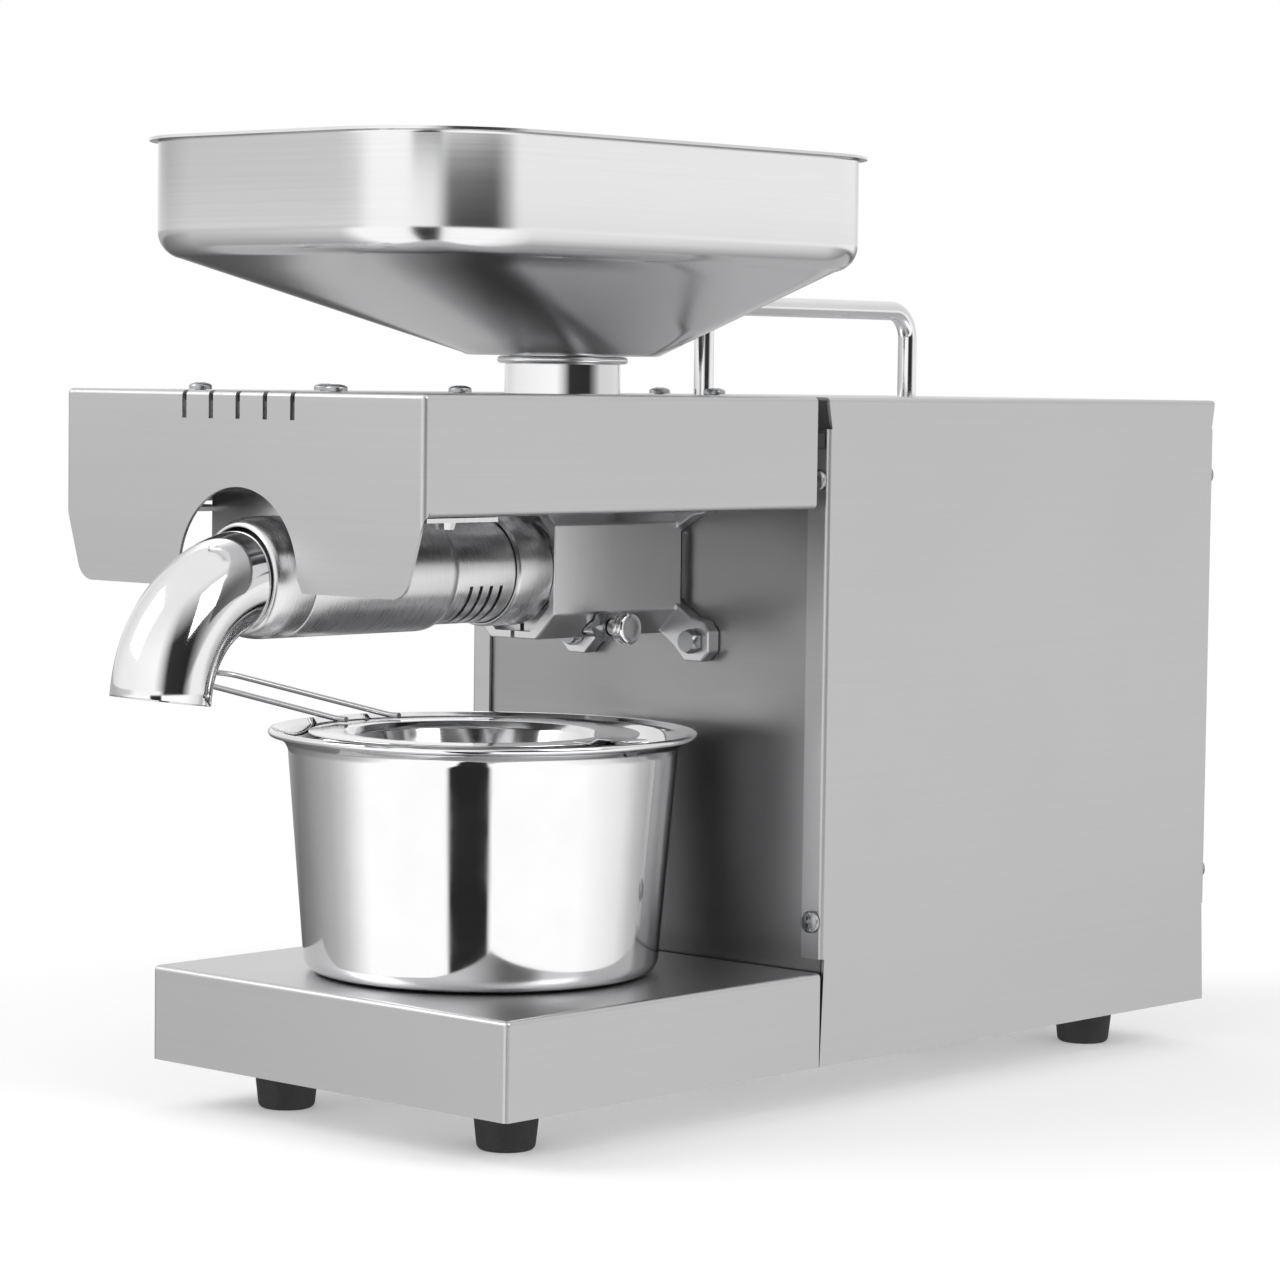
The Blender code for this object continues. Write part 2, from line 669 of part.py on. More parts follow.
def make_bottom():
    """Bottom plate with its vents, and the feet, each with its screw and push nut."""
    low = (-INNER_X, FRONT_Y + SHEET + SEAT, 0.0)
    plate = box("bottom_plate", low, (INNER_X, BACK_Y - SHEET - SEAT, BOTTOM_PLATE), SATIN)
    cut_boxes(plate, bottom_vents())
    sole_z = -SEAT - FOOT_HEIGHT
    recess_z = sole_z + FOOT_RECESS_DEPTH
    cap_z = PLATE_TOP_Z + PUSH_NUT_HEIGHT
    outline = [
        (0.0, cap_z), (PUSH_NUT_RADIUS, cap_z), (PUSH_NUT_RADIUS, PLATE_TOP_Z), (SHANK_RADIUS, PLATE_TOP_Z),
        (SHANK_RADIUS, -SEAT), (FOOT_TOP_RADIUS, -SEAT), (FOOT_BOTTOM_RADIUS, sole_z + FOOT_EDGE),
        (FOOT_BOTTOM_RADIUS - FOOT_EDGE, sole_z), (FOOT_RECESS_RADIUS, sole_z), (FOOT_RECESS_RADIUS, recess_z),
        (PAN_RADIUS, recess_z), (0.0, recess_z - PAN_HEIGHT)]
    holes = []
    for name, (x, y) in foot_places().items():
        turned(name, outline, at(x, y, 0.0), RUBBER, steps=12)
        holes.append((SHANK_RADIUS + HOLE_CLEARANCE, 2 * CUT_REACH, at(x, y, -CUT_REACH)))
    cut_rods(plate, holes, sides=12)


# Rear box

def make_rear_cover():
    """Cover wrapped over the top and both sides, with narrow flanges at the front and the back."""
    bm = bmesh.new()
    heights = (0.0, FLANGE_BOTTOM_Z, FLANGE_TOP_Z, BODY_HEIGHT)
    grid = {}
    for side in (-1, 1):
        for y in (SEAM_Y, BACK_Y):
            for z in heights:
                grid[side, y, z] = bm.verts.new((side * HALF_WIDTH, y, z))
    top = [(-1, SEAM_Y), (1, SEAM_Y), (1, BACK_Y), (-1, BACK_Y)]
    bm.faces.new([grid[side, y, BODY_HEIGHT] for side, y in top])
    for side in (-1, 1):
        front = [grid[side, SEAM_Y, z] for z in heights]
        back = [grid[side, BACK_Y, z] for z in reversed(heights)]
        bm.faces.new(front + back)
        for y in (SEAM_Y, BACK_Y):
            inner = side * (HALF_WIDTH - FLANGE_WIDTH)
            low = bm.verts.new((inner, y, FLANGE_BOTTOM_Z))
            high = bm.verts.new((inner, y, FLANGE_TOP_Z))
            bm.faces.new((grid[side, y, FLANGE_BOTTOM_Z], low, high, grid[side, y, FLANGE_TOP_Z]))
    bmesh.ops.recalc_face_normals(bm, faces=bm.faces)
    face_out(bm, Vector((0.0, (SEAM_Y + BACK_Y) / 2, 0.0)))
    cover = part("rear_cover", bm, BRUSHED, (0.0, (SEAM_Y + BACK_Y) / 2, BODY_HEIGHT))
    round_edges(cover, FOLD_RADIUS)
    thicken(cover, SHEET)
    return cover


def make_bulkhead():
    """Bulkhead behind the front flanges, notched for the hood beam and bored for the drive shaft."""
    plate = box("bulkhead", (-INNER_X, BULKHEAD_FRONT_Y, PLATE_TOP_Z), (INNER_X, BULKHEAD_BACK_Y, UNDER_TOP_Z),
                BRUSHED)
    before, behind = BULKHEAD_FRONT_Y - CUT_REACH, BULKHEAD_BACK_Y + CUT_REACH
    notch = BEAM_HALF + SEAT
    cut_boxes(plate, [((-notch, before, BEAM_TOP_Z - BEAM_DEPTH - SEAT),
                       (notch, behind, BODY_HEIGHT + CUT_REACH))])
    bore = SHAFT_RADIUS + RUNNING
    cut_rods(plate, [(bore, behind - before, at(0.0, before, PRESS_AXIS_Z, ALONG_Y))], sides=20)
    bolt_holes(plate, BULKHEAD_PLATE + CUT_REACH)
    return plate


def panel_window(x, z, half_x, half_z):
    """A rectangular hole through the back panel, as a box to cut."""
    return ((x - half_x, BACK_PLATE_FRONT_Y - CUT_REACH, z - half_z),
            (x + half_x, BACK_PLATE_REAR_Y + CUT_REACH, z + half_z))


def make_back_panel():
    """Back panel with vent slots, switch holes and an inlet hole."""
    low = (-INNER_X, BACK_PLATE_FRONT_Y, PLATE_TOP_Z)
    panel = box("back_panel", low, (INNER_X, BACK_PLATE_REAR_Y, UNDER_TOP_Z), BRUSHED)
    windows = []
    for row in range(VENT_ROWS):
        z = MOTOR_Z + (row - (VENT_ROWS - 1) / 2) * VENT_PITCH
        windows.append(panel_window(0.0, z, VENT_SIZE[0] / 2, VENT_SIZE[1] / 2))
    half_x, half_z = (size / 2 + SEAT for size in INLET_SIZE)
    windows.append(panel_window(INLET_X, INLET_Z, half_x, half_z))
    half_x, half_z = (size / 2 + ROCKER_ROOM + BEZEL_WALL + SEAT for size in ROCKER_SIZE)
    windows += [panel_window(x, SWITCH_Z, half_x, half_z) for x in switch_columns()]
    cut_boxes(panel, windows)


def switch_columns():
    """X of the power switch and of the direction switch."""
    return (-SWITCH_X, -SWITCH_X + SWITCH_PITCH)


def flange_screw_places(y, turn):
    """Screw seats on the cover's flanges at one end."""
    return [at(x, y, z, turn) for z in FLANGE_SCREW_Z for x in (-FLANGE_SCREW_X, FLANGE_SCREW_X)]


# Hood and what carries it

def hood_screw_places():
    """Seats of the screws on the hood's top."""
    x = BEAM_HALF - HOOD_SCREW_INSET
    rows = (HOOD_FRONT_Y + HOOD_SCREW_SETBACK, NECK_Y - HOOD_SCREW_NECK_GAP)
    return [at(side * x, y, BODY_HEIGHT) for y in rows for side in (-1, 1)]


def cover_screw_places():
    """Seats of the two screws through the rear cover's top."""
    return [at(x, BEAM_REAR_Y - COVER_SCREW_INSET, BODY_HEIGHT) for x in (-COVER_SCREW_X, COVER_SCREW_X)]


def bracket_screw_places():
    """Seats of the screws under the ends of the cross bracket."""
    x = HALF_WIDTH - SHEET - HOOD_RETURN / 2
    bottom = HOOD_SKIRT_Z - SEAT - BRACKET_SHEET
    return [at(side * x, HOOD_FRONT_Y + BRACKET_SCREW_SETBACK, bottom, FACING_DOWN) for side in (-1, 1)]


def hood_face_outline():
    """The front plate, counter-clockwise from the lower left corner."""
    foot_z = BODY_HEIGHT - HOOD_FACE
    low_x = HALF_WIDTH - HOOD_TAPER
    slope = math.degrees(math.atan2(HOOD_SKIRT_Z - foot_z, HOOD_TAPER))
    reach = HOOD_CORNER_RADIUS * math.tan(math.radians(slope / 2))
    centre_x = low_x - reach
    centre_z = foot_z + HOOD_CORNER_RADIUS
    arch_z = PRESS_AXIS_Z + ARCH_RISE
    right_corner = arc((centre_x, centre_z), HOOD_CORNER_RADIUS, -90.0, -90.0 + slope, 4)
    left_corner = [(-x, z) for x, z in reversed(right_corner)]
    arch = arc((0.0, arch_z), ARCH_RADIUS, 180.0, 0.0, 14)
    foot = ARCH_RADIUS + ARCH_FLARE
    right_side = [(HALF_WIDTH, HOOD_SKIRT_Z), (HALF_WIDTH, BODY_HEIGHT)]
    left_side = [(-HALF_WIDTH, BODY_HEIGHT), (-HALF_WIDTH, HOOD_SKIRT_Z)]
    return left_corner + [(-foot, foot_z)] + arch + [(foot, foot_z)] + right_corner + right_side + left_side


def make_hood():
    """Folded hood: top, front plate with an arch, skirts with inward flanges, slots over the front fold."""
    bm = bmesh.new()
    front = {}
    loop = []
    for x, z in hood_face_outline():
        vert = bm.verts.new((x, HOOD_FRONT_Y, z))
        front[round(x, 6), round(z, 6)] = vert
        loop.append(vert)
    bm.faces.new(loop)
    key_x, key_top, key_low = round(HALF_WIDTH, 6), round(BODY_HEIGHT, 6), round(HOOD_SKIRT_Z, 6)
    rear_top = {}
    for side in (-1, 1):
        rear_top[side] = bm.verts.new((side * HALF_WIDTH, HOOD_REAR_Y, BODY_HEIGHT))
    bm.faces.new((front[-key_x, key_top], front[key_x, key_top], rear_top[1], rear_top[-1]))
    fold_start = HOOD_FRONT_Y + SHEET + FOLD_RADIUS
    for side in (-1, 1):
        rear_low = bm.verts.new((side * HALF_WIDTH, HOOD_REAR_Y, HOOD_SKIRT_Z))
        start = bm.verts.new((side * HALF_WIDTH, fold_start, HOOD_SKIRT_Z))
        upper, lower = front[side * key_x, key_top], front[side * key_x, key_low]
        bm.faces.new((lower, start, rear_low, rear_top[side], upper))
        inner = side * (HALF_WIDTH - HOOD_RETURN)
        inner_rear = bm.verts.new((inner, HOOD_REAR_Y, HOOD_SKIRT_Z))
        inner_start = bm.verts.new((inner, fold_start, HOOD_SKIRT_Z))
        bm.faces.new((start, inner_start, inner_rear, rear_low))
    bmesh.ops.recalc_face_normals(bm, faces=bm.faces)
    face_out(bm, Vector((0.0, (HOOD_FRONT_Y + HOOD_REAR_Y) / 2, (HOOD_SKIRT_Z + BODY_HEIGHT) / 2)))
    hood = part("hood", bm, BRUSHED, (0.0, (HOOD_FRONT_Y + HOOD_REAR_Y) / 2, BODY_HEIGHT))
    round_edges(hood, FOLD_RADIUS)
    thicken(hood, SHEET)
    slots = []
    for i in range(SLOT_COUNT):
        x = (i - (SLOT_COUNT - 1) / 2) * SLOT_PITCH
        slots.append(((x - SLOT_WIDTH / 2, HOOD_FRONT_Y - CUT_REACH, BODY_HEIGHT - SLOT_DROP),
                      (x + SLOT_WIDTH / 2, HOOD_FRONT_Y + SLOT_RUN, BODY_HEIGHT + CUT_REACH)))
    cut_boxes(hood, slots)
    neck_hole(hood)
    return hood


def neck_hole(sheet):
    """Hole for the feed neck through a sheet at the top."""
    through = at(0.0, NECK_Y, BODY_HEIGHT - CUT_REACH)
    cut_rods(sheet, [(NECK_RADIUS + RUNNING, 2 * CUT_REACH, through)], sides=20)


def make_beam():
    """Channel that reaches forward from the rear cover and carries the hood."""
    front, low_z = HOOD_FRONT_Y + SHEET + FOLD_RADIUS, BEAM_TOP_Z - BEAM_DEPTH
    section = [(-BEAM_HALF, low_z), (-BEAM_HALF, BEAM_TOP_Z), (BEAM_HALF, BEAM_TOP_Z), (BEAM_HALF, low_z)]
    bm = bmesh.new()
    near, far = ([bm.verts.new((x, y, z)) for x, z in section] for y in (front, BEAM_REAR_Y))
    for i in range(3):
        bm.faces.new((near[i], near[i + 1], far[i + 1], far[i]))
    face_out(bm, Vector((0.0, (front + BEAM_REAR_Y) / 2, low_z)))
    beam = part("hood_beam", bm, SATIN, (0.0, BEAM_REAR_Y, BEAM_TOP_Z))
    round_edges(beam, FOLD_RADIUS)
    thicken(beam, BEAM_SHEET)
    neck_hole(beam)
    return beam


def make_cross_bracket():
    """Bracket across the hood's front, with a raised middle and a saddle that straddles the front tube."""
    top = HOOD_SKIRT_Z - SEAT
    bottom = top - BRACKET_SHEET
    front = HOOD_FRONT_Y + SHEET + FOLD_RADIUS
    rear = front + BRACKET_DEPTH
    end_x = HALF_WIDTH - SHEET - SEAT
    saddle_y = HOOD_FRONT_Y + SADDLE_INSET
    hat_top = bottom + HAT_RISE + BRACKET_SHEET
    inner = HAT_HALF_WIDTH - BRACKET_SHEET
    bracket = box("cross_bracket", (-end_x, front, bottom), (end_x, rear, top), SATIN)
    bm = bmesh.new()
    add_box(bm, (-HAT_HALF_WIDTH, saddle_y, bottom), (HAT_HALF_WIDTH, rear, hat_top))
    boolean(bracket, cutter("bracket_hat", bm), "UNION")
    cut_boxes(bracket, [((-inner, saddle_y - BRACKET_SHEET, bottom - CUT_REACH),
                         (inner, rear + CUT_REACH, hat_top - BRACKET_SHEET))])
    bm = bmesh.new()
    add_box(bm, (-HAT_HALF_WIDTH, front - CUT_REACH, bottom - CUT_REACH),
            (HAT_HALF_WIDTH, saddle_y, top + CUT_REACH))
    boolean(bracket, cutter("bracket_front_opening", bm))
    bm = bmesh.new()
    add_box(bm, (-HAT_HALF_WIDTH, saddle_y, hat_top - SADDLE_DROP),
            (HAT_HALF_WIDTH, saddle_y + BRACKET_SHEET, hat_top - BRACKET_SHEET / 2))
    boolean(bracket, cutter("bracket_saddle", bm), "UNION")
    through = at(0.0, saddle_y - CUT_REACH, PRESS_AXIS_Z, ALONG_Y)
    cut_rods(bracket, [(TUBE_RADIUS + SEAT, 2 * CUT_REACH, through)], sides=24)
    return bracket


def join_bracket_screws(bracket):
    """Screws through the bracket into the hood's flanges, joined to the bracket."""
    heads, shanks = bmesh.new(), bmesh.new()
    reach = BRACKET_SHEET + SEAT + SHEET + BRACKET_SHEET
    for place in bracket_screw_places():
        sunk = place @ Matrix.Translation((0.0, 0.0, -BRACKET_SHEET / 2))
        add_rod(heads, PAN_RADIUS, PAN_HEIGHT + BRACKET_SHEET / 2, sunk, 10, PAN_RADIUS * 0.75)
        end = place @ Matrix.Translation((0.0, 0.0, -reach))
        add_rod(shanks, SHANK_RADIUS, reach - BRACKET_SHEET / 4, end, 10)
    boolean(bracket, cutter("bracket_screw_heads", heads), "UNION")
    boolean(bracket, cutter("bracket_screw_shanks", shanks), "UNION")


def make_pads():
    """Rubber pads between the hood and the flanges."""
    low_z = FLANGE_TOP_Z - PAD_HEIGHT - SHEET
    outer = HALF_WIDTH - SHEET
    for name, start_x in (("gap_pad_left", -outer), ("gap_pad_right", outer - PAD_WIDTH)):
        low = (start_x, HOOD_REAR_Y + SEAT, low_z)
        high = (start_x + PAD_WIDTH, SEAM_Y - SEAT, low_z + PAD_HEIGHT)
        box(name, low, high, RUBBER, bevel=PAD_EDGE, segments=1)


# Press line

def bolt_points():
    """X and Z of the four bolts through the block's rear flange."""
    return [(x, PRESS_AXIS_Z + z) for z in (-EAR_Z, EAR_Z) for x in (-EAR_X, EAR_X)]


def bolt_holes(target, reach):
    """Clearance holes for the four bolts, up to a distance behind the block's rear face."""
    start_y = BLOCK_REAR_Y - MOUNT_PLATE - CUT_REACH
    length = BLOCK_REAR_Y + reach - start_y
    bm = bmesh.new()
    for x, z in bolt_points():
        add_rod(bm, BOLT_RADIUS + HOLE_CLEARANCE, length, at(x, start_y, z, ALONG_Y), 8)
    boolean(target, cutter(target.name + "_bolt_holes", bm))


def outline_plate(name, points, low_y, high_y, material):
    """A flat outline in X and Z, as a filled curve given its thickness along Y."""
    curve = bpy.data.curves.new(name, "CURVE")
    curve.dimensions = "2D"
    curve.fill_mode = "BOTH"
    curve.extrude = (high_y - low_y) / 2
    spline = curve.splines.new("POLY")
    spline.points.add(len(points) - 1)
    for point, (x, z) in zip(spline.points, points):
        point.co = (x, z, 0.0, 1.0)
    spline.use_cyclic_u = True
    made = bpy.data.objects.new(name, curve)
    made.matrix_world = at(0.0, (low_y + high_y) / 2, PRESS_AXIS_Z, FACING_FRONT)
    PARTS.objects.link(made)
    return as_mesh(made, material)


def as_mesh(curve_object, material):
    """A curve object turned into a mesh object with its caps welded."""
    name = curve_object.name
    mesh = evaluated_mesh(curve_object)
    place = curve_object.matrix_world.copy()
    bpy.data.objects.remove(curve_object, do_unlink=True)
    bm = bmesh.new()
    bm.from_mesh(mesh)
    bmesh.ops.remove_doubles(bm, verts=bm.verts, dist=0.00001)
    bmesh.ops.recalc_face_normals(bm, faces=bm.faces)
    bm.to_mesh(mesh)
    bm.free()
    mesh.materials.clear()
    mesh.materials.append(material)
    made = bpy.data.objects.new(name, mesh)
    made.matrix_world = place
    PARTS.objects.link(made)
    return made


def cut_corner_section(half, top, bottom, chamfer):
    """A rectangle with its corners cut off, from the upper right round to the lower right."""
    upper = [(half, top - chamfer), (half - chamfer, top), (chamfer - half, top), (-half, top - chamfer)]
    lower = [(-half, bottom + chamfer), (chamfer - half, bottom), (half - chamfer, bottom),
             (half, bottom + chamfer)]
    return upper + lower


def make_block():
    """Chamber block with its bore, feed hole, open-rimmed front, clamp slit and clamp hole."""
    half, top, bottom = BLOCK_HALF_WIDTH, BLOCK_TOP, -BLOCK_BOTTOM
    outline = cut_corner_section(half, top, bottom, BLOCK_CHAMFER)
    block = outline_plate("chamber_block", outline, BLOCK_FRONT_Y, BLOCK_REAR_Y - MOUNT_PLATE / 2, SATIN)
    make_rear_flange(block)
    recess = cut_corner_section(half - BLOCK_RIM, top - BLOCK_RIM, bottom + BLOCK_RIM, BLOCK_CHAMFER)
    before = BLOCK_FRONT_Y - CUT_REACH
    bm = bmesh.new()
    rings = [[(x, y, PRESS_AXIS_Z + z) for x, z in recess] for y in (before, BLOCK_FRONT_Y + BLOCK_RECESS)]
    loft(bm, rings, closed_ends=True)
    boolean(block, cutter("block_recess", bm))
    along = at(0.0, before, PRESS_AXIS_Z, ALONG_Y)
    cut_rods(block, [(BORE_RADIUS, BLOCK_LENGTH + 2 * CUT_REACH, along)], sides=20)
    cut_rods(block, [(SLEEVE_RADIUS + SEAT, CUT_REACH + SLEEVE_LENGTH + SEAT, along)], sides=20)
    cut_rods(block, [(FEED_RADIUS, BLOCK_TOP + CUT_REACH, at(0.0, NECK_Y, PRESS_AXIS_Z))], sides=20)
    depth = CLAMP_DEPTH + SEAT
    inward = at(half - depth, NECK_Y, CLAMP_Z, ALONG_X)
    cut_rods(block, [(CLAMP_RADIUS + HOLE_CLEARANCE, depth + CUT_REACH, inward)])
    bolt_holes(block, CUT_REACH)
    slit = CLAMP_SLIT / 2
    cut_boxes(block, [((-slit, before, PRESS_AXIS_Z + bottom - CUT_REACH),
                       (slit, BLOCK_FRONT_Y + CLAMP_SLIT_LENGTH, PRESS_AXIS_Z - BORE_RADIUS / 2))])


def make_rear_flange(block):
    """Rear flange of the block: a plate with four ears, joined to it, on four bolts."""
    wide = EAR_HALF_WIDTH
    ear_x, ear_z = EAR_X + wide, EAR_Z + wide
    inside = BLOCK_HALF_WIDTH - MOUNT_PLATE / 2
    quarter = [
        (inside, EAR_Z - 2.0 * wide), (EAR_X - 0.2 * wide, EAR_Z - 1.15 * wide),
        (ear_x - 0.4 * wide, EAR_Z - wide), (ear_x, EAR_Z - 0.5 * wide), (ear_x, EAR_Z + 0.5 * wide),
        (ear_x - 0.5 * wide, ear_z), (EAR_X - 0.6 * wide, ear_z), (EAR_X - 1.3 * wide, EAR_Z + 0.3 * wide),
        (inside - wide, BLOCK_TOP - MOUNT_PLATE / 2)]
    outline = quarter + [(-x, z) for x, z in reversed(quarter)]
    outline += [(-x, -z) for x, z in quarter] + [(x, -z) for x, z in reversed(quarter)]
    front = BLOCK_REAR_Y - MOUNT_PLATE
    flange = outline_plate("rear_flange", outline, front, BLOCK_REAR_Y, SATIN)
    hide_as_cutter(flange)
    boolean(block, flange, "UNION")
    reach = MOUNT_PLATE + BULKHEAD_PLATE + BOLT_GRIP
    for number, (x, z) in enumerate(bolt_points(), start=1):
        seat = at(x, front, z, FACING_FRONT)
        hex_bolt(f"flange_bolt_{number}", seat, BOLT_HEAD_RADIUS, BOLT_HEAD, BOLT_RADIUS, reach)


def make_barrel():
    """Press barrel with drain slits, its collar, the front tube, the choke ring and the end cap."""
    axis = at(0.0, 0.0, PRESS_AXIS_Z, FACING_FRONT)
    sleeve_rear = BLOCK_FRONT_Y + SLEEVE_LENGTH
    spigot_front = CAGE_FRONT_Y - SPIGOT_LENGTH
    barrel = turned("press_barrel", [
        (SPIGOT_RADIUS, -spigot_front), (SPIGOT_RADIUS, -CAGE_FRONT_Y), (CAGE_RADIUS, -CAGE_FRONT_Y),
        (CAGE_RADIUS, -COLLAR_REAR_Y), (SLEEVE_RADIUS, -COLLAR_REAR_Y), (SLEEVE_RADIUS, -sleeve_rear),
        (CAGE_BORE, -sleeve_rear), (CAGE_BORE, -spigot_front)], axis, SATIN, steps=20)
    slits = []
    reach = 2 * CAGE_RADIUS
    for i in range(DRAIN_SLITS):
        y = CAGE_REAR_Y - DRAIN_MARGIN - i * DRAIN_PITCH
        slits.append(((-reach, y - DRAIN_WIDTH, PRESS_AXIS_Z - reach),
                      (reach, y, PRESS_AXIS_Z - CAGE_RADIUS / 4)))
    cut_boxes(barrel, slits)
    inner = CAGE_RADIUS + SEAT
    turned("barrel_collar", [
        (COLLAR_RADIUS - TUBE_EDGE, -CAGE_REAR_Y), (COLLAR_RADIUS, -CAGE_REAR_Y - TUBE_EDGE),
        (COLLAR_RADIUS, -COLLAR_REAR_Y), (inner, -COLLAR_REAR_Y), (inner, -CAGE_REAR_Y)], axis, SATIN, steps=20)
    spigot_bore = SPIGOT_RADIUS + SEAT
    shoulder = TUBE_RADIUS - spigot_bore - TUBE_EDGE
    fillet = [(TUBE_RADIUS - shoulder * (1 - x), -TUBE_REAR_Y + TUBE_FILLET * (1 + z))
              for x, z in arc((0.0, 0.0), 1.0, 0.0, -90.0, 3)]
    tube_bore, choke_bore = CAGE_BORE + SEAT, CHOKE_RADIUS + SEAT
    spigot_stop = -spigot_front + SEAT
    turned("front_tube", [
        (TUBE_RADIUS, -TUBE_FRONT_Y), *fillet, (spigot_bore, -TUBE_REAR_Y), (spigot_bore, spigot_stop),
        (tube_bore, spigot_stop), (tube_bore, -CHOKE_REAR_Y), (choke_bore, -CHOKE_REAR_Y),
        (choke_bore, -TUBE_FRONT_Y)], axis, SATIN, steps=24)
    choke_rear = -CHOKE_REAR_Y + SEAT
    turned("choke_ring", [
        (CHOKE_RADIUS, -TUBE_FRONT_Y), (CHOKE_RADIUS, choke_rear), (CHOKE_RADIUS - CHOKE_LIP, choke_rear),
        (CHOKE_THROAT, -CHOKE_REAR_Y + CHOKE_LENGTH / 2), (CHOKE_THROAT, -TUBE_FRONT_Y)], axis, SATIN, steps=16)
    make_end_cap(axis)


def make_end_cap(axis):
    """Rounded cap that holds the chute against the front tube."""
    bore = CHUTE_RADIUS + SEAT
    mouth = bore + CAP_FLARE
    nose = mouth + CAP_NOSE
    dome = [(nose + (TUBE_RADIUS - nose) * x, -CAP_FRONT_Y - CAP_DOME * (1 - z))
            for x, z in arc((0.0, 0.0), 1.0, 90.0, 0.0, 4)]
    turned("end_cap", [
        *dome, (TUBE_RADIUS, -CAP_REAR_Y), (bore, -CAP_REAR_Y), (bore, -CAP_FRONT_Y - CAP_FLARE_DEPTH),
        (mouth, -CAP_FRONT_Y)], axis, SATIN, steps=24)


def make_chute():
    """Bent pipe that leads the pressed cake forward and down."""
    start = CAP_REAR_Y - SEAT
    bend_y = start - CHUTE_ENTRY
    points = [(start, PRESS_AXIS_Z)]
    for i in range(CHUTE_STEPS + 1):
        angle = CHUTE_TURN * i / CHUTE_STEPS
        drop = CHUTE_BEND * (1 - math.cos(angle))
        points.append((bend_y - CHUTE_BEND * math.sin(angle), PRESS_AXIS_Z - drop))
    end_y, end_z = points[-1]
    points.append((end_y - CHUTE_TAIL * math.cos(CHUTE_TURN), end_z - CHUTE_TAIL * math.sin(CHUTE_TURN)))
    path = [(0.0, y - CAP_REAR_Y, z - PRESS_AXIS_Z) for y, z in points]
    pipe = rail("discharge_chute", path, CHUTE_RADIUS, 6, caps=False)
    pipe.location = (0.0, CAP_REAR_Y, PRESS_AXIS_Z)
    bpy.context.view_layer.update()
    pipe = as_mesh(pipe, POLISHED)
    soften(pipe.data)
    face_pipe_out(pipe)
    thicken(pipe, CHUTE_WALL)


def face_pipe_out(pipe):
    """Turns an open pipe so that its faces look outwards, judged by its highest face."""
    bm = bmesh.new()
    bm.from_mesh(pipe.data)
    bm.normal_update()
    highest = max(bm.faces, key=lambda face: face.calc_center_median().z)
    if highest.normal.z < 0:
        bmesh.ops.reverse_faces(bm, faces=bm.faces)
    bm.to_mesh(pipe.data)
    bm.free()


def rail(name, points, radius, resolution, caps=True, material=None):
    """A round bar or pipe along a list of points, as a curve with a bevel."""
    curve = bpy.data.curves.new(name, "CURVE")
    curve.dimensions = "3D"
    curve.bevel_depth = radius
    curve.bevel_resolution = resolution
    curve.use_fill_caps = caps
    spline = curve.splines.new("POLY")
    spline.points.add(len(points) - 1)
    for point, place in zip(spline.points, points):
        point.co = (*place, 1.0)
    if material:
        curve.materials.append(material)
    made = bpy.data.objects.new(name, curve)
    PARTS.objects.link(made)
    return made


def make_feed_neck():
    """Flanged tube from the block up through the hood."""
    inner = NECK_RADIUS - NECK_WALL
    height = NECK_TOP_Z - NECK_BOTTOM_Z
    flange = NECK_FLANGE_HEIGHT
    turned("feed_neck", [
        (NECK_RADIUS, height), (NECK_RADIUS, flange), (NECK_FLANGE, flange), (NECK_FLANGE, 0.0),
        (FEED_RADIUS, 0.0), (FEED_RADIUS, flange), (inner, 1.6 * flange), (inner, height)],
        at(0.0, NECK_Y, NECK_BOTTOM_Z), POLISHED, steps=20)


# Drive

def make_shaft_line():
    """Bush, drive shaft and coupling sleeve."""
    axis = at(0.0, 0.0, PRESS_AXIS_Z, FACING_FRONT)
    outer, inner = BORE_RADIUS - SEAT, SHAFT_RADIUS + RUNNING
    turned("shaft_bush", [
        (outer, -BUSH_FRONT_Y), (outer, -BUSH_REAR_Y), (inner, -BUSH_REAR_Y), (inner, -BUSH_FRONT_Y)],
        axis, BRONZE, steps=16)
    length = GEARBOX_FRONT_Y + GEARBOX_LENGTH / 2 - SHAFT_FRONT_Y
    rod("drive_shaft", SHAFT_RADIUS, length, at(0.0, SHAFT_FRONT_Y, PRESS_AXIS_Z, ALONG_Y), ZINC, sides=20)
    sleeve = SHAFT_RADIUS + SEAT
    turned("drive_coupling", [
        (COUPLING_RADIUS, -COUPLING_FRONT_Y), (COUPLING_RADIUS, -COUPLING_REAR_Y),
        (sleeve, -COUPLING_REAR_Y), (sleeve, -COUPLING_FRONT_Y)], axis, ZINC, steps=16)


def flight_ring(y, turn, core, height):
    """One section of the press screw: a round core with a flight on one side."""
    tip = core + height
    ring = []
    for offset, radius in ((-FLIGHT_FOOT, core), (-FLIGHT_LAND, tip), (FLIGHT_LAND, tip), (FLIGHT_FOOT, core)):
        ring.append((radius, turn + math.radians(offset)))
    for i in range(1, CORE_POINTS + 1):
        offset = FLIGHT_FOOT + (360.0 - 2 * FLIGHT_FOOT) * i / (CORE_POINTS + 1)
        ring.append((core, turn + math.radians(offset)))
    return [(radius * math.cos(angle), y, radius * math.sin(angle)) for radius, angle in ring]


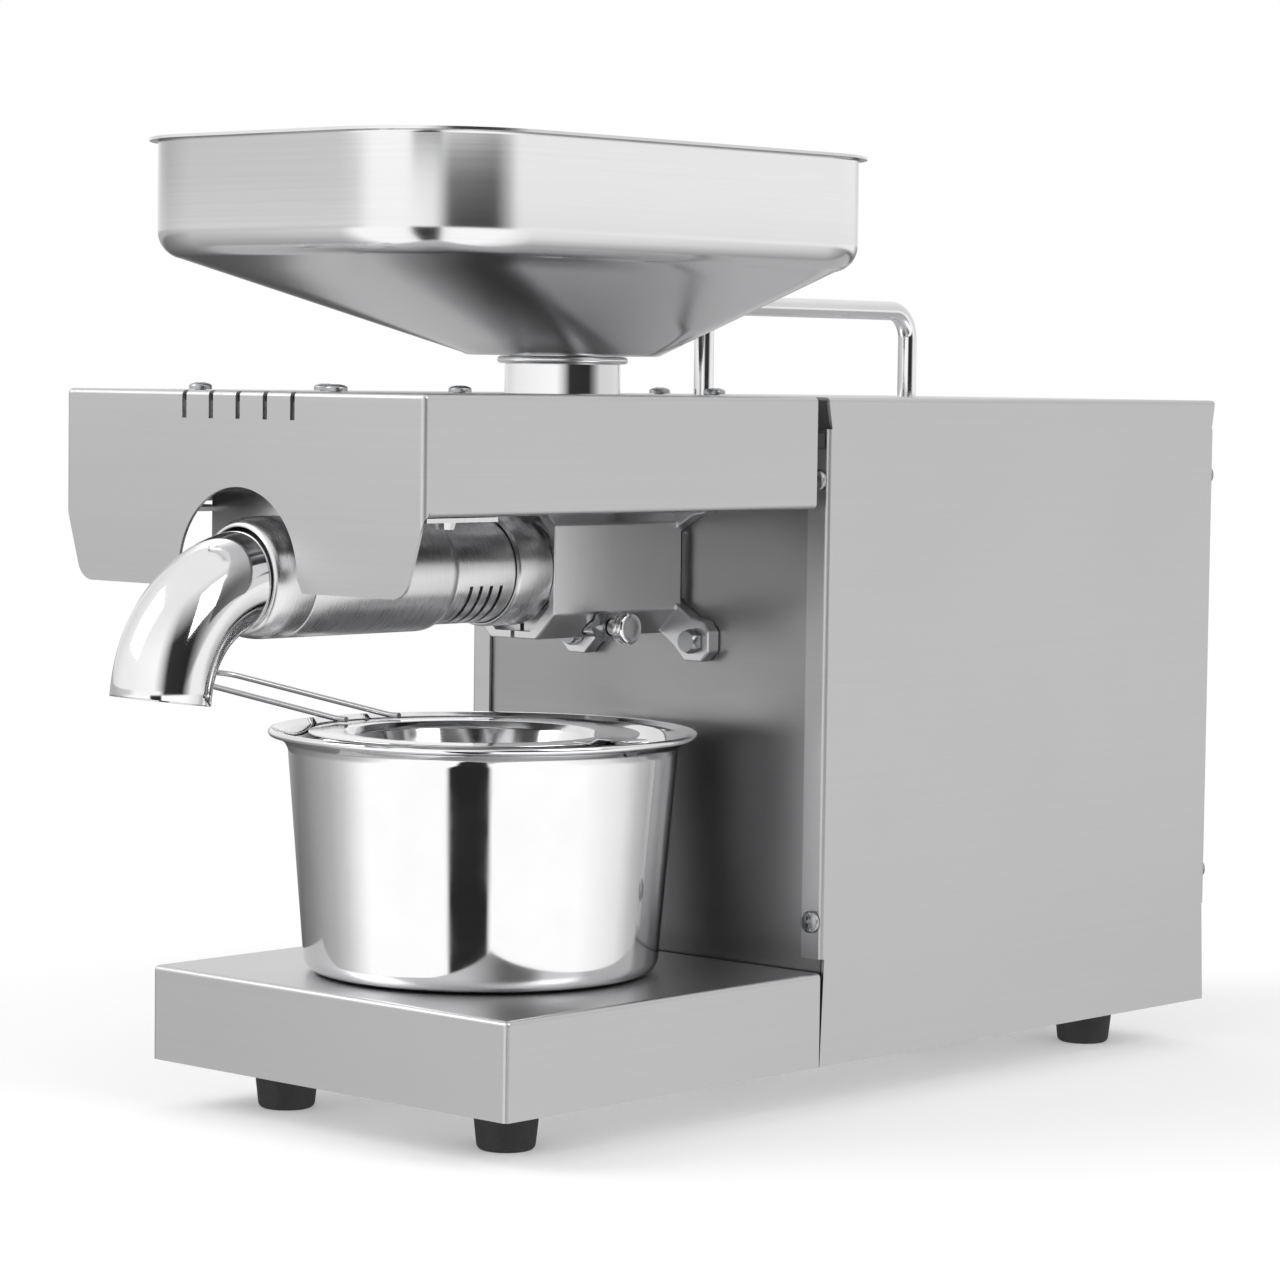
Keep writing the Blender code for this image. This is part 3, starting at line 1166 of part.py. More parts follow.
def make_press_screw():
    """Press screw: its core grows and its pitch closes towards the front, to squeeze the seed harder."""
    length = FLIGHT_REAR_Y - FLIGHT_FRONT_Y
    rings = [flight_ring(y, 0.0, SHAFT_RADIUS, 0.0) for y in (SCREW_REAR_Y, FLIGHT_REAR_Y)]
    y, turn = FLIGHT_REAR_Y - FLIGHT_RUN_IN, 0.0
    while y > FLIGHT_FRONT_Y:
        share = (FLIGHT_REAR_Y - y) / length
        core = CORE_REAR + (CORE_FRONT - CORE_REAR) * share
        rings.append(flight_ring(y, turn, core, FLIGHT_RADIUS - core))
        pitch = PITCH_REAR + (PITCH_FRONT - PITCH_REAR) * share
        y -= pitch / STEPS_PER_TURN
        turn -= 2 * math.pi / STEPS_PER_TURN
    rings.append(flight_ring(FLIGHT_FRONT_Y - FLIGHT_RUN_OUT, turn, CORE_FRONT, 0.0))
    rings.append(flight_ring(FLIGHT_FRONT_Y - TIP_LENGTH, turn, TIP_RADIUS, 0.0))
    bm = bmesh.new()
    loft(bm, [[(x, y, z + PRESS_AXIS_Z) for x, y, z in ring] for ring in rings], closed_ends=True)
    part("press_screw", bm, POLISHED, (0.0, SCREW_REAR_Y, PRESS_AXIS_Z), smooth=True)


def make_drive():
    """Gearbox, motor with its fan, cradle and control box."""
    top = PRESS_AXIS_Z + GEARBOX_RISE
    bottom = MOTOR_Z - GEARBOX_RISE
    gearbox = box("gearbox", (-GEARBOX_HALF_WIDTH, GEARBOX_FRONT_Y, bottom),
                  (GEARBOX_HALF_WIDTH, GEARBOX_REAR_Y, top), CASTING, bevel=GEARBOX_EDGE, segments=1)
    into_gearbox = at(0.0, GEARBOX_FRONT_Y - CUT_REACH, PRESS_AXIS_Z, ALONG_Y)
    depth = GEARBOX_LENGTH / 2 + RUNNING
    cut_rods(gearbox, [(SHAFT_RADIUS + RUNNING, CUT_REACH + depth, into_gearbox)], sides=20)
    bolt_holes(gearbox, BULKHEAD_PLATE + BOLT_GRIP + RUNNING)
    make_motor()
    make_fan()
    make_cradle()
    wide, deep, high = CONTROL_BOX
    front = GEARBOX_FRONT_Y + CONTROL_BOX_SETBACK
    box("control_box", (-wide / 2, front, PLATE_TOP_Z), (wide / 2, front + deep, PLATE_TOP_Z + high),
        BLACK_PLASTIC, bevel=CONTROL_BOX_EDGE)


def make_motor():
    """Motor behind the gearbox, with the shaft that carries the fan."""
    front, rear = -MOTOR_FRONT_Y, -MOTOR_REAR_Y
    hole, floor = MOTOR_SHAFT_RADIUS + RUNNING, rear + MOTOR_SHAFT_SEAT
    turned("motor", [
        (0.0, front), (MOTOR_RADIUS * 0.82, front), (MOTOR_RADIUS, front - MOTOR_FRONT_SHOULDER),
        (MOTOR_RADIUS, rear + MOTOR_REAR_SHOULDER), (MOTOR_RADIUS * 0.78, rear), (hole, rear), (hole, floor),
        (0.0, floor)], at(0.0, 0.0, MOTOR_Z, FACING_FRONT), MOTOR_PAINT, steps=20)
    seat = MOTOR_SHAFT_SEAT - RUNNING
    rod("motor_shaft", MOTOR_SHAFT_RADIUS, seat + MOTOR_SHAFT_REACH,
        at(0.0, MOTOR_REAR_Y - seat, MOTOR_Z, ALONG_Y), ZINC, sides=16)


def make_cradle():
    """Cradle between the bottom plate and the motor, hollow below it."""
    half, wall = CRADLE_HALF_WIDTH, BOTTOM_PLATE
    middle = (MOTOR_FRONT_Y + MOTOR_REAR_Y) / 2
    front, rear = middle - CRADLE_LENGTH / 2, middle + CRADLE_LENGTH / 2
    cradle = box("motor_cradle", (-half, front, PLATE_TOP_Z), (half, rear, MOTOR_Z - MOTOR_RADIUS / 2), ZINC)
    along = at(0.0, front - CUT_REACH, MOTOR_Z, ALONG_Y)
    cut_rods(cradle, [(MOTOR_RADIUS + SEAT, CRADLE_LENGTH + 2 * CUT_REACH, along)], sides=20)
    cut_boxes(cradle, [((-half + wall, front - CUT_REACH, PLATE_TOP_Z + wall),
                        (half - wall, rear + CUT_REACH, MOTOR_Z - MOTOR_RADIUS - CRADLE_MOTOR_GAP))])


def make_fan():
    """Cooling fan: a disc and a hub with straight blades, behind the motor."""
    start = MOTOR_REAR_Y + FAN_GAP
    hub, bore, half = 2 * MOTOR_SHAFT_RADIUS, MOTOR_SHAFT_RADIUS + SEAT, FAN_PLATE / 2
    front, plate_rear, hub_rear = -start, -start - FAN_PLATE, -start - FAN_DEPTH
    fan = turned("cooling_fan", [
        (FAN_RADIUS, front), (FAN_RADIUS, plate_rear), (hub, plate_rear), (hub, hub_rear), (bore, hub_rear),
        (bore, front)], at(0.0, 0.0, MOTOR_Z, FACING_FRONT), BLACK_PLASTIC, steps=20)
    bm = bmesh.new()
    for i in range(FAN_BLADES):
        one = bmesh.new()
        add_box(one, (hub * 0.8, start + half, -half), (FAN_RADIUS * 0.97, start + FAN_DEPTH - half, half))
        turn = Matrix.Rotation(2 * math.pi * i / FAN_BLADES, 4, "Y")
        bmesh.ops.transform(one, matrix=Matrix.Translation((0.0, 0.0, MOTOR_Z)) @ turn, verts=one.verts)
        mesh = bpy.data.meshes.new("blade")
        one.to_mesh(mesh)
        one.free()
        bm.from_mesh(mesh)
        bpy.data.meshes.remove(mesh)
    boolean(fan, cutter("fan_blades", bm), "UNION")


# Hopper

def rounded_ring(half_x, half_y, radius, centre_y, height, steps=4):
    """A rounded rectangle as a ring of points."""
    ring = []
    for sign_x, sign_y, start in ((1, 1, 0.0), (-1, 1, 90.0), (-1, -1, 180.0), (1, -1, 270.0)):
        centre = (sign_x * (half_x - radius), centre_y + sign_y * (half_y - radius))
        ring += [(x, y, height) for x, y in arc(centre, radius, start, start + 90.0, steps)]
    return ring


def make_hopper():
    """Hopper: a lip, an upright rounded wall, a funnel to a flat floor, and a spout into the neck."""
    a, b, corner = HOPPER_HALF_X, HOPPER_HALF_Y, HOPPER_CORNER
    lip, top = HOPPER_LIP, HOPPER_TOP_Z - HOPPER_SHEET
    floor, floor_corner, edge = HOPPER_FLOOR_HALF, HOPPER_FLOOR_CORNER, HOPPER_FLOOR_EDGE
    spout = NECK_RADIUS - NECK_WALL - 2 * RUNNING
    spout_corner = spout * 0.97
    knee = arc((-HOPPER_KNEE_RADIUS, HOPPER_KNEE_Z + HOPPER_KNEE_RISE), HOPPER_KNEE_RADIUS,
               0.0, -HOPPER_KNEE_TURN, 3)
    rings = [
        rounded_ring(a + lip, b + lip, corner + lip, HOPPER_Y, top),
        rounded_ring(a, b, corner, HOPPER_Y, top - HOPPER_LIP_DROP),
        *(rounded_ring(a + x, b + x, corner + x, HOPPER_Y, z) for x, z in knee),
        rounded_ring(floor, floor, floor_corner, NECK_Y, HOPPER_FLOOR_Z + HOPPER_FLOOR_RISE),
        rounded_ring(floor - edge, floor - edge, floor_corner - edge, NECK_Y, HOPPER_FLOOR_Z),
        rounded_ring(spout, spout, spout_corner, NECK_Y, HOPPER_FLOOR_Z),
        rounded_ring(spout, spout, spout_corner, NECK_Y, HOPPER_FLOOR_Z - SPOUT_LENGTH),
    ]
    bm = bmesh.new()
    loft(bm, rings, closed_ends=False)
    face_out(bm, Vector((0.0, HOPPER_Y, HOPPER_TOP_Z)))
    hopper = part("hopper", bm, BRUSHED, (0.0, NECK_Y, HOPPER_FLOOR_Z), smooth=True)
    thicken(hopper, HOPPER_SHEET)
    inner, outer, high, edge = NECK_RADIUS + RUNNING, COLLAR_RING_RADIUS, COLLAR_RING_HEIGHT, COLLAR_RING_EDGE
    turned("hopper_collar", [
        (outer - edge, -SEAT), (outer, -SEAT - edge), (outer - edge, -high), (inner, -high), (inner, -SEAT)],
        at(0.0, NECK_Y, HOPPER_FLOOR_Z), POLISHED, steps=20)


# Handle

def make_handle():
    """Bent rod over the rear cover, with a nut on each leg below the top."""
    low, high = BODY_HEIGHT - SHEET - HANDLE_TAIL, BODY_HEIGHT + HANDLE_RISE
    front, rear = HANDLE_FRONT_Y, HANDLE_FRONT_Y + HANDLE_SPAN
    bend = HANDLE_BEND
    path = [(front, low)] + arc((front + bend, high - bend), bend, 180.0, 90.0, 4)
    path += arc((rear - bend, high - bend), bend, 90.0, 0.0, 4) + [(rear, low)]
    handle = rail("carry_handle", [(0.0, y, z) for y, z in path], HANDLE_ROD / 2, 3)
    bpy.context.view_layer.update()
    handle = as_mesh(handle, POLISHED)
    soften(handle.data)
    bm = bmesh.new()
    for y in (front, rear):
        top = BODY_HEIGHT - SHEET - SEAT
        add_rod(bm, HANDLE_ROD / 2 + HANDLE_NUT_RIM, HANDLE_NUT, at(0.0, y, top - HANDLE_NUT), sides=6)
    boolean(handle, cutter("handle_nuts", bm), "UNION")


# Pot and strainer

def make_pot():
    """Oil pot: straight tapered wall, rounded base edge, and a flare that ends in a rolled rim."""
    sheet, bead, edge, flare = POT_SHEET, POT_BEAD, POT_BASE_EDGE, POT_FLARE
    rim, top, base, height = POT_RIM_RADIUS, POT_TOP_RADIUS, POT_BASE_RADIUS, POT_HEIGHT
    inner = arc((base - edge, edge), edge - sheet, -90.0, 0.0, 2)
    inner += [(top - sheet, height - flare), (top + sheet, height - flare / 2)]
    inner.append((rim - 3 * bead, height - sheet))
    outer = arc((rim - bead, height - bead), bead, 90.0, -90.0, 3)
    outer += [(top + 1.3 * sheet, height - flare * 2 / 3), (top, height - flare)]
    outer += arc((base - edge, edge), edge, 0.0, -90.0, 2)
    outline = [(0.0, sheet), *inner, *outer, (0.0, 0.0)]
    turned("oil_pot", outline, at(0.0, POT_Y, POT_BASE_Z), POLISHED, steps=24)


def make_strainer():
    """Strainer: flat rim with a shallow bowl, a mesh disc, a wire handle and a hook over the pot's rim."""
    x, y = -STRAINER_SHIFT, POT_Y
    wall, depth = STRAINER_SHEET, STRAINER_BOWL_DEPTH
    rim, bowl, mesh = STRAINER_RIM_RADIUS, STRAINER_BOWL_RADIUS, STRAINER_MESH_RADIUS
    upper, lower = bowl - 0.3 * STRAINER_BOWL_SLANT, bowl - 0.7 * STRAINER_BOWL_SLANT
    foot, bend = bowl - STRAINER_BOWL_SLANT, STRAINER_BOWL_BEND
    place = at(x, y, STRAINER_Z)
    strainer = turned("strainer_rim", [
        (rim, 0.0), (rim, -wall), (bowl, -wall), (upper, -wall - bend), (lower, bend - depth), (foot, -depth),
        (mesh, -depth), (mesh, wall - depth), (foot - wall / 2, wall - depth),
        (lower - wall, wall / 2 + bend - depth), (upper - wall, -wall / 2 - bend), (bowl - wall / 2, 0.0)],
        place, POLISHED, steps=20)
    floor, thick, rise = wall + SEAT - depth, STRAINER_MESH_SHEET, STRAINER_MESH_RISE
    disc = mesh + STRAINER_MESH_LAP
    turned("strainer_mesh", [
        (0.0, floor + rise + thick), (disc / 2, floor + rise * 2 / 3 + thick), (disc, floor + thick),
        (disc, floor), (disc / 2, floor + rise * 2 / 3), (0.0, floor + rise)], place, SATIN, steps=16)
    make_strainer_handle(x, y)
    make_strainer_hook(strainer, x, y)


def make_strainer_handle(x, y):
    """Wire handle that rests on the pot's rim at one side."""
    foot_x = x - STRAINER_RIM_RADIUS + WIRE_FOOT_INSET
    edge_x = x - STRAINER_RIM_RADIUS + WIRE_EDGE_INSET
    spread = WIRE_SPREAD
    foot_z = STRAINER_Z + SEAT + WIRE_RADIUS
    end_x = edge_x - WIRE_REACH + WIRE_GRIP
    grip_z = foot_z + (edge_x - end_x) * math.tan(WIRE_TILT)

    def leg(side):
        return [(foot_x, y + side * spread, foot_z), (edge_x, y + side * spread, foot_z),
                (end_x, y + side * spread, grip_z)]

    loop = []
    for i in range(1, 8):
        angle = math.pi * i / 8
        reach = WIRE_GRIP * math.sin(angle)
        loop.append((end_x - reach, y + spread * math.cos(angle), grip_z + reach * math.tan(WIRE_TILT)))
    rail("strainer_handle", leg(1) + loop + leg(-1)[::-1], WIRE_RADIUS, 2, material=POLISHED)


def make_strainer_hook(strainer, x, y):
    """Hook on the strainer's rim that rests on the pot's rim opposite the handle."""
    thick = STRAINER_SHEET
    inner = x + STRAINER_RIM_RADIUS - HOOK_ROOT
    start = x + STRAINER_RIM_RADIUS + HOOK_START
    stop = start + HOOK_RUN
    reach = POT_RIM_RADIUS - HOOK_RIM_INSET
    lift = POT_RIM_Z + SEAT
    low = STRAINER_Z - thick / 2
    profile = [(inner, low), (start, low), (stop, lift), (reach, lift), (reach, lift + thick),
               (stop - thick / 2, lift + thick), (start - thick / 2, low + thick), (inner, low + thick)]
    half = HOOK_WIDTH / 2
    bm = bmesh.new()
    loft(bm, [[(px, y + side * half, pz) for px, pz in profile] for side in (-1, 1)], closed_ends=True)
    boolean(strainer, cutter("strainer_hook", bm), "UNION")


def make_clamp():
    """Clamp screw with its round knob, and the nut against the block."""
    start, knob = BLOCK_HALF_WIDTH - CLAMP_DEPTH, BLOCK_HALF_WIDTH + CLAMP_REACH
    end, edge = knob + KNOB_LENGTH, KNOB_EDGE
    turned("clamp_screw", [
        (0.0, end), (KNOB_RADIUS - edge, end), (KNOB_RADIUS, end - edge), (KNOB_RADIUS, knob + edge),
        (KNOB_RADIUS - edge, knob), (CLAMP_RADIUS, knob), (CLAMP_RADIUS, start), (0.0, start)],
        at(0.0, NECK_Y, CLAMP_Z, ALONG_X), POLISHED, steps=12)
    hex_nut("clamp_nut", at(BLOCK_HALF_WIDTH, NECK_Y, CLAMP_Z, ALONG_X), CLAMP_NUT_RADIUS, CLAMP_NUT_LENGTH,
            CLAMP_RADIUS + HOLE_CLEARANCE)


# Controls on the back panel

def make_inlet():
    """Power inlet with its three pins in a recess."""
    half_x, half_z = (size / 2 for size in INLET_SIZE)
    rear = BACK_PLATE_REAR_Y + SEAT
    front, lip, wall = rear - INLET_DEPTH, INLET_LIP, INLET_WALL
    inlet = box("power_inlet", (INLET_X - half_x, front, INLET_Z - half_z),
                (INLET_X + half_x, rear + BEZEL_LIP / 2, INLET_Z + half_z), BLACK_PLASTIC)
    bm = bmesh.new()
    add_box(bm, (INLET_X - half_x - lip, rear, INLET_Z - half_z - lip),
            (INLET_X + half_x + lip, rear + BEZEL_LIP, INLET_Z + half_z + lip))
    boolean(inlet, cutter("inlet_lip", bm), "UNION")
    cut_boxes(inlet, [((INLET_X - half_x + wall, front + wall, INLET_Z - half_z + wall),
                       (INLET_X + half_x - wall, rear + CUT_REACH, INLET_Z + half_z - wall))])
    pin_x, pin_z = (size / 2 for size in INLET_PIN)
    pins = bmesh.new()
    for column in (-1, 0, 1):
        x = INLET_X + column * INLET_PIN_PITCH
        z = INLET_Z + INLET_PIN_RISE * (1 if column == 0 else -1)
        add_box(pins, (x - pin_x, front + wall / 2, z - pin_z),
                (x + pin_x, rear - INLET_PIN_SETBACK, z + pin_z))
    boolean(inlet, cutter("inlet_pins", pins), "UNION")


def make_switch(name, x, tilt):
    """Rocker switch: a bezel in the panel and a rocker that tilts about a cross axis."""
    half_x, half_z = ROCKER_SIZE[0] / 2, ROCKER_SIZE[1] / 2
    rear = BACK_PLATE_REAR_Y + SEAT
    room_x, room_z = half_x + ROCKER_ROOM, half_z + ROCKER_ROOM
    body_x, body_z = room_x + BEZEL_WALL, room_z + BEZEL_WALL
    bezel = box(name + "_bezel", (x - body_x, rear - BEZEL_DEPTH, SWITCH_Z - body_z),
                (x + body_x, rear + BEZEL_LIP / 2, SWITCH_Z + body_z), BLACK_PLASTIC)
    lip_x, lip_z = body_x + BEZEL_MARGIN, body_z + BEZEL_MARGIN
    bm = bmesh.new()
    add_box(bm, (x - lip_x, rear, SWITCH_Z - lip_z), (x + lip_x, rear + BEZEL_LIP, SWITCH_Z + lip_z))
    boolean(bezel, cutter(name + "_lip", bm), "UNION")
    cut_boxes(bezel, [((x - room_x, rear - BEZEL_DEPTH + BEZEL_WALL, SWITCH_Z - room_z),
                       (x + room_x, rear + CUT_REACH, SWITCH_Z + room_z))])
    pivot_y = rear - ROCKER_PIVOT_DEPTH
    outline = [(-half_z, ROCKER_TIP), (0.0, ROCKER_DISH), (half_z, ROCKER_TIP),
               (half_z, -ROCKER_HEEL), (0.0, -ROCKER_DEPTH), (-half_z, -ROCKER_HEEL)]
    rings = [[(x + side * half_x, pivot_y + out, SWITCH_Z + up) for up, out in outline] for side in (-1, 1)]
    bm = bmesh.new()
    loft(bm, rings, closed_ends=True)
    rocker = part(name + "_rocker", bm, BLACK_PLASTIC, (x, pivot_y, SWITCH_Z))
    rocker.rotation_euler = (tilt, 0.0, 0.0)


make_tray()
make_bottom()
rear_cover = make_rear_cover()
bulkhead = make_bulkhead()
make_back_panel()
hood = make_hood()
beam = make_beam()
bracket = make_cross_bracket()
make_pads()
make_block()
make_barrel()
make_chute()
make_feed_neck()
make_shaft_line()
make_press_screw()
make_drive()
make_hopper()
make_handle()
make_pot()
make_strainer()
make_clamp()
make_inlet()
power_x, direction_x = switch_columns()
make_switch("power", power_x, ROCKER_TILT)
make_switch("direction", direction_x, 0.0)

front_seats = flange_screw_places(SEAM_Y, FACING_FRONT)
pan_screws("flange_screw", front_seats, SHEET + BULKHEAD_PLATE)
shank_holes(rear_cover, front_seats)
shank_holes(bulkhead, front_seats)
pan_screws("hood_screw", hood_screw_places(), SHEET + BEAM_SHEET)
shank_holes(hood, hood_screw_places())
shank_holes(beam, hood_screw_places())
pan_screws("cover_screw", cover_screw_places(), SHEET + BEAM_SHEET)
shank_holes(rear_cover, cover_screw_places())
shank_holes(beam, cover_screw_places())
join_bracket_screws(bracket)
shank_holes(hood, bracket_screw_places())
cut_rods(rear_cover, [(HANDLE_ROD / 2 + SEAT, 2 * CUT_REACH, at(0.0, y, BODY_HEIGHT - CUT_REACH))
                      for y in (HANDLE_FRONT_Y, HANDLE_FRONT_Y + HANDLE_SPAN)])
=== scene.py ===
"""Finished look of the screw oil press: folded sheets, turned press line, hopper, chute, pot and strainer."""

import json
import math

import bmesh
import bpy
from bpy.props import BoolProperty, FloatProperty, FloatVectorProperty, IntProperty, PointerProperty, StringProperty
from mathutils import Matrix, Vector


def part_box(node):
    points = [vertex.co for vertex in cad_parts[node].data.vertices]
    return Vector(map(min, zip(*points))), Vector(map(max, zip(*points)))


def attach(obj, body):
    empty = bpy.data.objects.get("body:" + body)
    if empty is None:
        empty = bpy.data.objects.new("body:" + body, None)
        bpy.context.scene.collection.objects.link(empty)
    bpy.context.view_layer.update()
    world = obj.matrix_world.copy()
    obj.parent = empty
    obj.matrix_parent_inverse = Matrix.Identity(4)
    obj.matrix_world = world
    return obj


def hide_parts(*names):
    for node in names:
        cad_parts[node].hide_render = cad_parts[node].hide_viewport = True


bl_info = {
    "name": "Screw Oil Press",
    "version": (1, 0, 0),
    "blender": (4, 5, 0),
    "location": "View3D > Sidebar > Oil Press",
    "description": "Builds the finished pieces of a countertop screw oil press on its frame",
    "category": "Object",
}

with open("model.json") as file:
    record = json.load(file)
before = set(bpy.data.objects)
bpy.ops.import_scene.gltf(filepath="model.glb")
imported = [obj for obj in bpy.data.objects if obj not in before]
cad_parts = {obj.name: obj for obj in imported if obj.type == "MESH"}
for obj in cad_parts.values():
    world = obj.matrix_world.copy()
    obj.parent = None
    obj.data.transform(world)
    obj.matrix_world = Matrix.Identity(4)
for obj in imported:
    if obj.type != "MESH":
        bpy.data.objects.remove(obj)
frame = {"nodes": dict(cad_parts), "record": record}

ALONG_X = Matrix.Rotation(math.radians(90.0), 4, "Y")
FACING_BACK = Matrix.Rotation(math.radians(-90.0), 4, "X")
FACING_FRONT = Matrix.Rotation(math.radians(90.0), 4, "X")
FACING_DOWN = Matrix.Rotation(math.radians(180.0), 4, "X")
UPRIGHT = Matrix.Identity(4)


def span(node):
    """Lowest and highest corner of a frame node as vectors."""
    low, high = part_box(node)
    return Vector(low), Vector(high)


def middle(node):
    """Centre of a frame node's box."""
    low, high = span(node)
    return (low + high) / 2


def at(x, y, z, turn=UPRIGHT):
    """A placement at a point, turned to face an axis."""
    return Matrix.Translation((x, y, z)) @ turn


def length(text, value, note):
    """A length setting in metres."""
    return FloatProperty(name=text, description=note, default=value, min=0.0, unit="LENGTH", precision=4)


TRAY_LOW, TRAY_HIGH = span("base_tray")
COVER_LOW, COVER_HIGH = span("rear_cover")
HOOD_LOW, HOOD_HIGH = span("hood")
HOPPER_LOW, HOPPER_HIGH = span("hopper")
TUBE_LOW, TUBE_HIGH = span("front_tube")
CAP_LOW, CAP_HIGH = span("end_cap")
BARREL_LOW, BARREL_HIGH = span("press_barrel")
COLLAR_LOW, COLLAR_HIGH = span("barrel_collar")
CHOKE_LOW, CHOKE_HIGH = span("choke_ring")
NECK_LOW, NECK_HIGH = span("feed_neck")
BLOCK_LOW, BLOCK_HIGH = span("chamber_block")
POT_LOW, POT_HIGH = span("oil_pot")
RIM_LOW, RIM_HIGH = span("strainer_rim")
SCREW_LOW, SCREW_HIGH = span("press_screw")
PRESS_Z = (CAP_LOW.z + CAP_HIGH.z) / 2
NECK_Y = (NECK_LOW.y + NECK_HIGH.y) / 2
POT_Y = (POT_LOW.y + POT_HIGH.y) / 2
SHEET = 0.0012
SEAT = 0.0003


class SheetSettings(bpy.types.PropertyGroup):
    """Folded sheet parts."""

    thickness: length("Sheet", SHEET, "Thickness of the folded stainless sheet")
    fold: length("Fold radius", 0.0018, "Outer radius of each fold")
    fold_steps: IntProperty(name="Fold steps", description="Segments in each fold", default=6, min=2, max=16)
    flange: length("Flange", 0.0095, "Width of the rear cover's flanges")
    slots: IntProperty(name="Slots", description="Slots over the hood's front fold", default=5, min=0, max=12)
    slot_pitch: length("Slot pitch", 0.0136, "Distance between the slots")
    slot_width: length("Slot width", 0.0022, "Width of a slot")
    slot_drop: length("Slot drop", 0.0095, "Reach of a slot down the front")
    slot_run: length("Slot run", 0.0080, "Reach of a slot onto the top")
    arch: length("Arch radius", 0.0300, "Radius of the arch around the end cap")


class PipeSettings(bpy.types.PropertyGroup):
    """Cake chute."""

    radius: length("Radius", 0.0170, "Outer radius of the chute")
    wall: length("Wall", 0.0012, "Wall of the chute")
    bend: length("Bend radius", 0.0420, "Radius of the bend at the pipe's centre line")
    turn: FloatProperty(name="Turn", description="Angle of the bend", default=math.radians(82.0), subtype="ANGLE")
    entry: length("Entry", 0.0090, "Straight run inside the end cap")
    tail: length("Tail", 0.0040, "Straight run after the bend")


class HopperSettings(bpy.types.PropertyGroup):
    """Feed hopper."""

    sheet: length("Sheet", 0.0010, "Thickness of the pressed hopper")
    corner: length("Corner radius", 0.0460, "Radius of the upright wall's corners")
    lip: length("Lip", 0.0031, "Width of the lip")
    wall: length("Wall height", 0.0353, "Height of the upright wall")
    knee: length("Knee radius", 0.0098, "Radius of the bend between wall and funnel")
    knee_turn: FloatProperty(name="Knee", description="Turn from wall to funnel", default=math.radians(80.0), subtype="ANGLE")
    floor_half: length("Floor", 0.0345, "Half width of the floor around the spout")
    floor_corner: length("Floor corner", 0.0290, "Corner radius of the floor")
    shift: length("Shift", 0.0254, "Offset of the hopper in front of its neck")


class PotSettings(bpy.types.PropertyGroup):
    """Oil pot and strainer."""

    sheet: length("Sheet", 0.0009, "Thickness of the drawn pot")
    rim: length("Rim radius", 0.0776, "Outer radius of the rolled rim")
    top: length("Top radius", 0.0704, "Radius of the wall below the rim")
    base: length("Base radius", 0.0644, "Radius of the wall above the base")
    wire: length("Wire radius", 0.0011, "Radius of the strainer's handle wire")
    spread: length("Wire spread", 0.0135, "Half distance between the handle's wires")
    mesh_pitch: length("Mesh pitch", 0.0016, "Distance between the wires of the strainer's mesh")
    mesh_wire: length("Mesh wire", 0.0003, "Radius of the mesh's wires")


class FinishSettings(bpy.types.PropertyGroup):
    """Colours and gloss."""

    brushed: StringProperty(name="Brushed stainless", description="sRGB hex colour", default="#c4c4c5")
    hopper: StringProperty(name="Hopper", description="sRGB hex colour", default="#e2e2e3")
    # Bulkhead colour: the brushed stainless darkened, as painted shade for the cavity under the hood where the bulkhead
    # sits.
    bulkhead: StringProperty(name="Bulkhead painted shade", description="sRGB hex colour", default="#a8a8a9")
    polished: StringProperty(name="Polished stainless", description="sRGB hex colour", default="#e6e6e7")
    satin: StringProperty(name="Turned stainless", description="sRGB hex colour", default="#dcdcdd")
    rubber: StringProperty(name="Rubber", description="sRGB hex colour", default="#232323")
    wire: StringProperty(name="Drawn wire", description="sRGB hex colour", default="#9c9c9e")
    zinc: StringProperty(name="Zinc plating", description="sRGB hex colour", default="#a9abad")
    brush_gloss: FloatProperty(name="Brushed roughness", description="Roughness across the grain", default=0.34, min=0.0, max=1.0)


class StageSettings(bpy.types.PropertyGroup):
    """Camera, floor and light."""

    eye: FloatVectorProperty(name="Camera", description="Camera position", default=(1.0267, -1.1648, 0.2491),
                             subtype="TRANSLATION", unit="LENGTH")
    yaw: FloatProperty(name="Yaw", description="Turn to the left of the long axis", default=math.radians(42.42), subtype="ANGLE")
    pitch: FloatProperty(name="Pitch", description="Tilt below the horizon", default=math.radians(3.68), subtype="ANGLE")
    roll: FloatProperty(name="Roll", description="Turn about the line of sight", default=math.radians(0.74), subtype="ANGLE")
    lens: FloatProperty(name="Lens", description="Focal length on a 36 mm sensor", default=114.0, min=10.0, unit="CAMERA")


# Shaders

def linear(colour):
    """An sRGB hex colour as linear values."""
    values = [int(colour[i:i + 2], 16) / 255 for i in (1, 3, 5)]
    return tuple(v / 12.92 if v <= 0.04045 else ((v + 0.055) / 1.055) ** 2.4 for v in values) + (1.0,)


def add_node(tree, kind, settings=None, inputs=None):
    """A node with its settings, and inputs as values or as sockets to link."""
    made = tree.nodes.new(kind)
    for key, value in (settings or {}).items():
        setattr(made, key, value)
    for key, value in (inputs or {}).items():
        if isinstance(value, bpy.types.NodeSocket):
            tree.links.new(value, made.inputs[key])
        else:
            made.inputs[key].default_value = value
    return made


def new_material(name, colour, roughness, metallic=0.0, **sockets):
    """A material with its shader, its colour and its gloss."""
    made = bpy.data.materials.new(name)
    made.use_nodes = True
    shader = made.node_tree.nodes["Principled BSDF"]
    shader.inputs["Base Color"].default_value = linear(colour)
    shader.inputs["Roughness"].default_value = roughness
    shader.inputs["Metallic"].default_value = metallic
    for key, value in sockets.items():
        shader.inputs[key.replace("_", " ")].default_value = value
    return made, made.node_tree, shader


